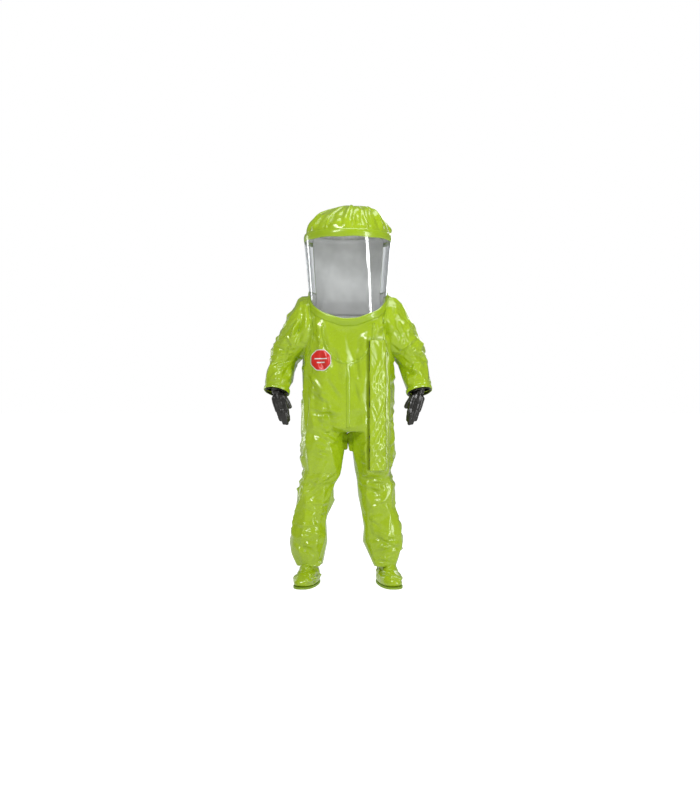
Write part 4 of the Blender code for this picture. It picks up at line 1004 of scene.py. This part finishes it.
def seam(name, path, width, offset, *replaced, slot="lime_trim", bvh=None, arm=None):
    """Tape along a path of x and z on the front, a few points wide."""
    verts = []
    for index, (x, z) in enumerate(path):
        before, after = path[max(index - 1, 0)], path[min(index + 1, len(path) - 1)]
        dx, dz = after[0] - before[0], after[1] - before[1]
        size = math.hypot(dx, dz)
        across = (-dz / size, dx / size)
        for k, lift in ((-1.0, 0.0), (-0.85, 0.8), (-0.3, 1.0), (0.3, 1.0), (0.85, 0.8), (1.0, 0.0)):
            aside_x, aside_z = across[0] * k * width / 2, across[1] * k * width / 2
            verts.append(front_point(x + aside_x, z + aside_z, offset * lift, bvh))
    obj = add_mesh(name, verts, grid_faces(len(path), 6), FILM_TRIM)
    relax(obj, 2, 0.3)
    thicken(obj, -0.0006, inside=False)
    if arm:
        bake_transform(obj)
    else:
        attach(obj, "suit_body")
    if replaced:
        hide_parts(*replaced)
    return obj


seam("centre_seam", [(0.0, 1.128 - 0.325 * i / 60) for i in range(61)], 0.020, 0.0030, "centre_seam_tape")
bib = []
for i in range(61):
    turn = math.pi * i / 60
    bib.append((-0.128 * math.cos(turn), 1.345 - 0.012 - 0.205 * math.sin(turn) ** 0.8))
seam("bib_seam", bib, 0.013, 0.0026)


def make_flap():
    """Storm flap: one long creased sheet, seamed at its outboard edge."""
    rows, columns = 120, 16
    length = C_HIGH[0] - C_LOW[0]
    width = C_HIGH[1] - C_LOW[1]
    crest = C_HIGH[2]
    verts = []
    for i in range(rows):
        u = C_LOW[0] + length * i / (rows - 1)
        for j in range(columns):
            t = j / (columns - 1)
            v = C_LOW[1] + width * t
            point = C_MID + C_ALONG * u + C_ACROSS * v
            fold = 1 - abs(noise.noise(Vector((u * 11 + t * 1.7, t * 0.9, 0.7)))) * 3.2
            cross = 1 - abs(noise.noise(Vector((u * 17 - t * 2.6, t * 1.3, 4.1)))) * 3.6
            rise = crest + 0.0012 + 0.0062 * max(0.0, fold) ** 1.5 + 0.0036 * max(0.0, cross) ** 1.5
            rise -= 0.0045 * max(0.0, (t - 0.86) / 0.14) + 0.0050 * max(0.0, (0.10 - t) / 0.10) ** 1.5
            verts.append(point + C_OUT * rise)
    flap = add_mesh("storm_flap_skin", verts, grid_faces(rows, columns), FILM, FILM)
    thicken(flap, 0.0016)
    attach(flap, "storm_flap")
    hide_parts("storm_flap")


make_flap()


def make_patch():
    """Plain octagon with a pale border and two plain bars."""
    low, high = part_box("chest_patch")
    cx, cz = (low[0] + high[0]) / 2, (low[2] + high[2]) / 2
    radius = (high[2] - low[2]) / 2

    def octagon(scale):
        return [(cx + radius * scale * math.cos(math.pi / 8 + k * math.pi / 4) / math.cos(math.pi / 8),
                 cz + radius * scale * math.sin(math.pi / 8 + k * math.pi / 4) / math.cos(math.pi / 8))
                for k in range(8)]

    def plate(name, outline, lift, material):
        verts, faces = [], []
        rings, around = 10, 8 * 6
        for i in range(rings + 1):
            s = i / rings
            for k in range(around):
                a, b = outline[k // 6], outline[(k // 6 + 1) % 8]
                f = (k % 6) / 6
                x, z = a[0] + (b[0] - a[0]) * f, a[1] + (b[1] - a[1]) * f
                verts.append(front_point(cx + (x - cx) * (1 - s), cz + (z - cz) * (1 - s), lift))
        faces = grid_faces(rings + 1, around, True)
        obj = add_mesh(name, verts, faces, material)
        merge_close(obj, 0.0003)
        relax(obj, 3, 0.4)
        thicken(obj, 0.0006, inside=False)
        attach(obj, "suit_body")
        return obj

    plate("patch_border", octagon(1.0), 0.0042, WHITE)
    red = plate("patch_field", octagon(0.925), 0.0052, RED)
    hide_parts("chest_patch")
    for index, (dz, half) in enumerate(((0.007, 0.58), (-0.012, 0.36))):
        verts = []
        for i in range(24):
            x = cx + radius * half * (2 * i / 23 - 1)
            for k in (-1, 1):
                verts.append(front_point(x, cz + dz + k * 0.0028, 0.0060))
        bar = add_mesh("patch_bar_%d" % index, verts, grid_faces(24, 2), WHITE)
        thicken(bar, -0.0004, inside=False)
        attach(bar, "suit_body")


make_patch()


# ---------------------------------------------------------------- sleeves
def across_frame(direction):
    first = (Vector((0, 1, 0)) - direction * direction.y).normalized()
    return first, direction.cross(first).normalized()


def mirror(vector, side):
    return Vector((vector.x * side, vector.y, vector.z))


# the front raglan seam, x and z
RAGLAN = ((0.203, 1.462), (0.194, 1.400), (0.184, 1.335), (0.181, 1.275), (0.190, 1.215), (0.210, 1.165))


def make_sleeve(word, side):
    form = voxel_union("sleeve_skin_" + word, [sleeve_form(side)], 0.0090, 4)
    bvh = tree(form)
    face = "L" if side > 0 else "R"
    folds = []
    for look in "FB":
        folds += [(look, 0.215 * side, 1.440, 0.205 * side, 1.200, 0.020, 0.010),
                  (look, 0.235 * side, 1.400, 0.222 * side, 1.190, 0.018, 0.009)]
        folds += fold_zone(look, (0.262 * side, 1.300), (0.022, 0.050), -64 * side, 18,
                           (0.07, 0.14), (0.010, 0.018), (0.006, 0.012), 7)
        folds += fold_zone(look, (0.315 * side, 1.200), (0.026, 0.032), 34 * side, 28,
                           (0.06, 0.12), (0.009, 0.016), (0.005, 0.010), 8)
        folds += fold_zone(look, (0.335 * side, 1.105), (0.028, 0.030), -20 * side, 22,
                           (0.06, 0.12), (0.009, 0.015), (0.005, 0.010), 8)
        folds += fold_zone(look, (0.357 * side, 1.035), (0.025, 0.016), -12 * side, 14,
                           (0.05, 0.10), (0.008, 0.012), (0.003, 0.006), 4)
    folds += fold_zone(face, (0.0, 1.200), (0.040, 0.090), 0, 30,
                       (0.06, 0.13), (0.010, 0.016), (0.004, 0.009), 12)
    co, no = positions(form), normals(form)
    end = (co - np.array(mirror(CUFF, side))) @ np.array(mirror(FORE, side))
    mask = np.clip((-0.012 - end) / 0.03, 0, 1)
    slow = smooth_noise(co, 8.0, 3 + side) * 0.009 + smooth_noise(co, 18.0, 4 + side) * 0.004
    co = co + no * ((slow * mask)[:, None])
    place(form, co)
    pins = np.where(mask < 0.4, 1.0, 0.10)
    pins[np.abs(co[:, 0]) < 0.17] = 1.0
    crumple(form, pins, (1.006, 1.006, 1.012), 12, 0.005)
    subdivide(form)
    co, no = positions(form), normals(form)
    end = (co - np.array(mirror(CUFF, side))) @ np.array(mirror(FORE, side))
    mask = np.clip((-0.012 - end) / 0.03, 0, 1)
    flat = facet(form, 380, 0.0070, co, no, 31 + int(side))
    small = facet(form, 1200, 0.0013, co, no, 35 + int(side))
    ridges = press_folds(co, no, bvh, folds, mask) * 0.60
    co = co + no * (((flat + small * 0.4) * mask + ridges)[:, None])
    place(form, co)
    relax(form, 1, 0.35)
    upper_way, fore_way = mirror(UPPER, side), mirror(FORE, side)
    elbow, cuff = mirror(ELBOW, side), mirror(CUFF, side)
    both = BVHTree.FromPolygons(
        [Vector(v) for v in positions(body)] + [Vector(v) for v in positions(form)],
        [tuple(p.vertices) for p in body.data.polygons]
        + [tuple(v + len(body.data.vertices) for v in p.vertices) for p in form.data.polygons])
    line = [spline(RAGLAN, k / 50 * (len(RAGLAN) - 1)) for k in range(51)]
    blend_start, blend_end = ((reach * side, 0, SHOULDER.z) for reach in ARM_BLEND)
    seam("raglan_seam_" + word, [(x * side, z) for x, z in line], 0.012, 0.0030, bvh=both,
         arm=("upper_arm_" + word, blend_start, blend_end))

    def buried(c):
        near, outward, _, away = BODY_TREE.find_nearest(Vector(c))
        inside = (Vector(c) - near).dot(outward) < 0
        return inside and abs(c[0]) < BURIED_REACH and away > BURIED_DEPTH

    delete_faces(form, buried)
    for point, way in ((cuff - fore_way * 0.002, fore_way), ((SLEEVE_CUT * side, 0, 0), (-side, 0, 0))):
        remove(cut_plane(form, point, way, "scrap"))
    lower_part = cut_plane(form, elbow - upper_way * 0.040, upper_way, "forearm_skin_" + word)
    for part in (form, lower_part):
        dress(part, FILM, INNER)
        thicken(part, SHELL)
    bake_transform(form)
    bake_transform(lower_part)
    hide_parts("upper_sleeve_" + word, "shoulder_gusset_" + word)
    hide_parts("elbow_folds_" + word, "forearm_sleeve_" + word)
    make_hem(word, cuff, fore_way)


def make_hem(word, cuff, fore_way):
    """Rolled green hem round the sleeve's end."""
    first, second = across_frame(fore_way)
    profile = [(-0.021, 0.0650), (-0.018, 0.0672), (-0.008, 0.0680), (-0.001, 0.0674), (0.0015, 0.0657),
               (0.0015, 0.0637), (-0.002, 0.0624), (-0.008, 0.0618)]
    verts = []
    columns = 96
    for ahead, radius in profile:
        for j in range(columns):
            angle = 2 * math.pi * j / columns
            r = radius + 0.0006 * math.sin(angle * 11) + 0.0004 * math.sin(angle * 23 + 1)
            around = first * (r * math.cos(angle)) + second * (r * math.sin(angle))
            verts.append(cuff + fore_way * ahead + around)
    hem = add_mesh("cuff_band_" + word, verts, grid_faces(len(profile), columns, True), FILM_TRIM)
    subdivide(hem)
    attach(hem, "forearm_" + word)
    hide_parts("cuff_hem_" + word)


# ---------------------------------------------------------------- gloves and booties
GLOVE_ALONG = Vector((-0.30521, -0.15643, -0.93935))
GLOVE_ACROSS = Vector((-0.95106, 0.0, 0.30902))
GLOVE_BACK = Vector((0.04834, -0.98769, 0.14878))
# each chain: ahead, beside and out from the wrist, with a radius, in millimetres
GLOVE_CHAINS = (
    ((-26, 0, 0, 25), (8, 0, 0, 24), (40, -1, 1, 25)),
    ((30, -18, 2, 19), (62, -21, 3, 16.5), (92, -22, 2, 15)),
    ((30, -7, 3, 19), (64, -8, 5, 17), (97, -7, 3, 15.5)),
    ((30, 7, 3, 19), (62, 7, 5, 17), (96, 7, 3, 15.5)),
    ((30, 17, 2, 18), (60, 20, 3, 16.5), (90, 20, 2, 15)),
    ((88, 21, 3, 13.0), (115, 20, 0, 12.2), (138, 17, -8, 11.2), (155, 14, -16, 10.0)),
    ((92, 7, 5, 13.2), (124, 6, 3, 12.5), (150, 4, -5, 11.6), (170, 1, -14, 10.2)),
    ((92, -7, 4, 13.0), (121, -8, 2, 12.4), (146, -10, -6, 11.4), (163, -12, -15, 10.0)),
    ((86, -20, 2, 12.2), (108, -22, -1, 11.6), (128, -24, -8, 10.6), (142, -25, -16, 9.4)),
    ((20, 16, 0, 18), (46, 29, -2, 15.5), (72, 38, -7, 13.5), (94, 41, -12, 11.6)),
)


def capsule(a, b, radius_a, radius_b):
    """Closed rounded rod between two points."""
    direction = (b - a).normalized()
    first, second = across_frame(direction)
    rings = []
    for k in range(1, 6):
        turn = math.pi / 2 * (k / 5)
        rings.append((a - direction * radius_a * math.cos(turn), radius_a * math.sin(turn)))
    for k in range(0, 5):
        turn = math.pi / 2 * (k / 5)
        rings.append((b + direction * radius_b * math.sin(turn), radius_b * math.cos(turn)))
    return closed_loft([super_ring(c, first * r, second * r, 2.0, 20) for c, r in rings])


def make_glove(word, side):
    wrist = mirror(CUFF, side)
    along, across, back = (mirror(v, side) for v in (GLOVE_ALONG, GLOVE_ACROSS, GLOVE_BACK))
    rods = []
    for chain in GLOVE_CHAINS:
        points = [(wrist + (along * a + across * b + back * c) * 0.001, r * 0.001) for a, b, c, r in chain]
        for (p, rp), (q, rq) in zip(points, points[1:]):
            rods.append(capsule(p, q, rp, rq))
    glove = voxel_union("glove_skin_" + word, rods, 0.0024, 7)
    co, no = positions(glove), normals(glove)
    local = (co - np.array(wrist)) @ np.array([along, across, back]).T
    # flatten the palm, then add cross creases at the wrist and knuckles
    palm = np.clip(1 - np.abs(local[:, 0] - 0.050) / 0.075, 0, 1)
    co = co - np.outer(local[:, 2] * palm * 0.22, np.array(back))
    crease = np.zeros(len(co))
    for where, deep, wide in ((-0.004, 0.0016, 0.003), (0.006, 0.0020, 0.004), (0.017, 0.0014, 0.003),
                              (0.100, 0.0010, 0.003), (0.124, 0.0011, 0.003), (0.145, 0.0008, 0.002)):
        bend = 0.004 * np.sin(local[:, 1] * 70 + where * 300)
        crease += deep * np.exp(-((local[:, 0] - where - bend) / wide) ** 2)
    co = co + no * (smooth_noise(co, 40.0, 6) * 0.0014 - crease)[:, None]
    place(glove, co)
    subdivide(glove)
    dress(glove, GLOVE)
    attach(glove, "hand_" + word)
    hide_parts("glove_hand_" + word)


def make_bootie(word, side):
    low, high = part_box("bootie_" + word)
    form = voxel_union("bootie_skin_" + word, [hull_bootie(word)], 0.0055, 6)
    bvh = tree(form)
    folds = []
    middle = (low[0] + high[0]) / 2
    for look in "FB":
        folds += fold_zone(look, (middle, 0.080), (0.030, 0.018), 0, 22,
                           (0.05, 0.10), (0.007, 0.011), (0.004, 0.007), 7)
    face = "L" if side > 0 else "R"
    inner = "R" if side > 0 else "L"
    for look in (face, inner):
        folds += fold_zone(look, (-0.040, 0.055), (0.060, 0.018), -18, 26,
                           (0.05, 0.10), (0.007, 0.011), (0.003, 0.006), 12)
    co, no = positions(form), normals(form)
    mask = np.clip((co[:, 2] - 0.016) / 0.014, 0, 1) * np.clip((0.135 - co[:, 2]) / 0.02, 0, 1)
    co = co + no * ((smooth_noise(co, 24.0, 9) * 0.004 * mask)[:, None])
    co = co + no * press_folds(co, no, bvh, folds, mask)[:, None]
    co[:, 2] = np.maximum(co[:, 2], 0.0102)
    place(form, co)
    subdivide(form)
    dress(form, FILM)
    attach(form, "foot_" + word)
    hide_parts("bootie_" + word)


def hull_bootie(word):
    """Closed bootie: the foot's hull with the neck's hull, from the node's own points."""
    co = positions(NODES["bootie_" + word])
    bm = bmesh.new()
    verts, faces = [], []
    for group in (co[co[:, 2] < 0.088], co[co[:, 2] > 0.070]):
        bm = bmesh.new()
        for point in group:
            bm.verts.new(point)
        bmesh.ops.convex_hull(bm, input=bm.verts[:])
        loose = [v for v in bm.verts if not v.link_faces]
        bmesh.ops.delete(bm, geom=loose, context="VERTS")
        bm.verts.index_update()
        start = len(verts)
        verts += [v.co.copy() for v in bm.verts]
        faces += [[v.index + start for v in f.verts] for f in bm.faces]
        bm.free()
    return verts, faces


for name, sign in (("left", 1.0), ("right", -1.0)):
    make_sleeve(name, sign)
    make_glove(name, sign)
    make_bootie(name, sign)


# ---------------------------------------------------------------- carried-over nodes
CARRIED = {
    "cuff_ring": GLOVE, "glove_gauntlet": GLOVE, "valve_housing": PLASTIC, "valve_cover": PLASTIC,
    "valve_diaphragm": GLOVE, "sole": SOLE, "zipper_chain": ZIP, "zipper_slider": ZIP, "zipper_pull": ZIP,
    "zipper_top_stop": ZIP, "zipper_bottom_stop": ZIP, "zipper_tape": FILM_CALM, "hook_strip": ZIP_CLOTH,
    "loop_strip": ZIP_CLOTH, "inner_flap": FILM_CALM,
}
for name, obj in NODES.items():
    for start, material in CARRIED.items():
        if name.startswith(start):
            obj.data.materials.clear()
            obj.data.materials.append(material)


# ---------------------------------------------------------------- stage, light and camera
def area_light(name, place_at, target, width, height, power):
    data = bpy.data.lights.new(name, "AREA")
    data.shape = "RECTANGLE"
    data.size, data.size_y = width, height
    data.energy = power
    lamp = bpy.data.objects.new(name, data)
    bpy.context.scene.collection.objects.link(lamp)
    lamp.location = place_at
    lamp.rotation_euler = (Vector(target) - Vector(place_at)).to_track_quat("-Z", "Y").to_euler()


def floor_material():
    """Pale seamless studio floor, a little self-lit so that it meets the white behind it."""
    mat, nodes, links = new_material("pale_floor")
    vector = coordinates(nodes, links, (1, 1, 1))
    shader = principled(nodes, links, 0.9, 0.1)
    tone = noise_node(nodes, links, vector, 2.0, 2.0)
    pale = ramp(nodes, links, tone, [(0.3, (0.40, 0.40, 0.40)), (0.7, (0.42, 0.42, 0.42))])
    links.new(pale, shader.inputs["Base Color"])
    shader.inputs["Emission Color"].default_value = (1.0, 1.0, 1.0, 1.0)
    sight = nodes.new("ShaderNodeLightPath")
    glow = nodes.new("ShaderNodeMapRange")
    glow.inputs["To Min"].default_value = 0.42
    glow.inputs["To Max"].default_value = 0.98
    links.new(sight.outputs["Is Camera Ray"], glow.inputs["Value"])
    links.new(glow.outputs["Result"], shader.inputs["Emission Strength"])
    return mat


FLOOR_REACH = 60
corners = [(x * FLOOR_REACH, y * FLOOR_REACH, 0) for x, y in ((-1, -1), (1, -1), (1, 1), (-1, 1))]
floor = add_mesh("floor", corners, [(0, 1, 2, 3)], floor_material())

world = bpy.data.worlds.new("studio")
bpy.context.scene.world = world
world.use_nodes = True
tree_nodes, tree_links = world.node_tree.nodes, world.node_tree.links
tree_nodes.clear()
seen = tree_nodes.new("ShaderNodeBackground")
seen.inputs["Color"].default_value = (1.0, 1.0, 1.0, 1.0)
seen.inputs["Strength"].default_value = 1.0
lit = tree_nodes.new("ShaderNodeBackground")
lit.inputs["Color"].default_value = (0.95, 0.97, 1.0, 1.0)
lit.inputs["Strength"].default_value = 0.22
path = tree_nodes.new("ShaderNodeLightPath")
both = tree_nodes.new("ShaderNodeMixShader")
output = tree_nodes.new("ShaderNodeOutputWorld")
tree_links.new(path.outputs["Is Camera Ray"], both.inputs["Fac"])
tree_links.new(lit.outputs["Background"], both.inputs[1])
tree_links.new(seen.outputs["Background"], both.inputs[2])
tree_links.new(both.outputs["Shader"], output.inputs["Surface"])

area_light("key_box", (-1.9, -4.2, 3.4), (0, 0, 1.1), 1.3, 1.1, 98)
area_light("right_strip", (2.35, -2.36, 1.45), (0, 0, 1.35), 0.46, 2.6, 44)
area_light("left_strip", (-2.6, 2.0, 1.3), (0, 0, 1.0), 0.5, 2.2, 14)
area_light("top_box", (0.3, -0.5, 4.4), (0, 0, 1.0), 2.0, 1.4, 40)
area_light("back_box", (1.2, 3.4, 2.6), (0, 0, 1.1), 1.8, 1.8, 34)

camera_data = bpy.data.cameras.new("camera")
camera_data.lens = 43.5
camera_data.sensor_width = 36.0
camera = bpy.data.objects.new("camera", camera_data)
bpy.context.scene.collection.objects.link(camera)
camera.location = (0.010, -4.994, 0.944)
camera.rotation_euler = (math.radians(90), 0, 0)
bpy.context.scene.camera = camera
bpy.context.scene.view_settings.view_transform = "Standard"
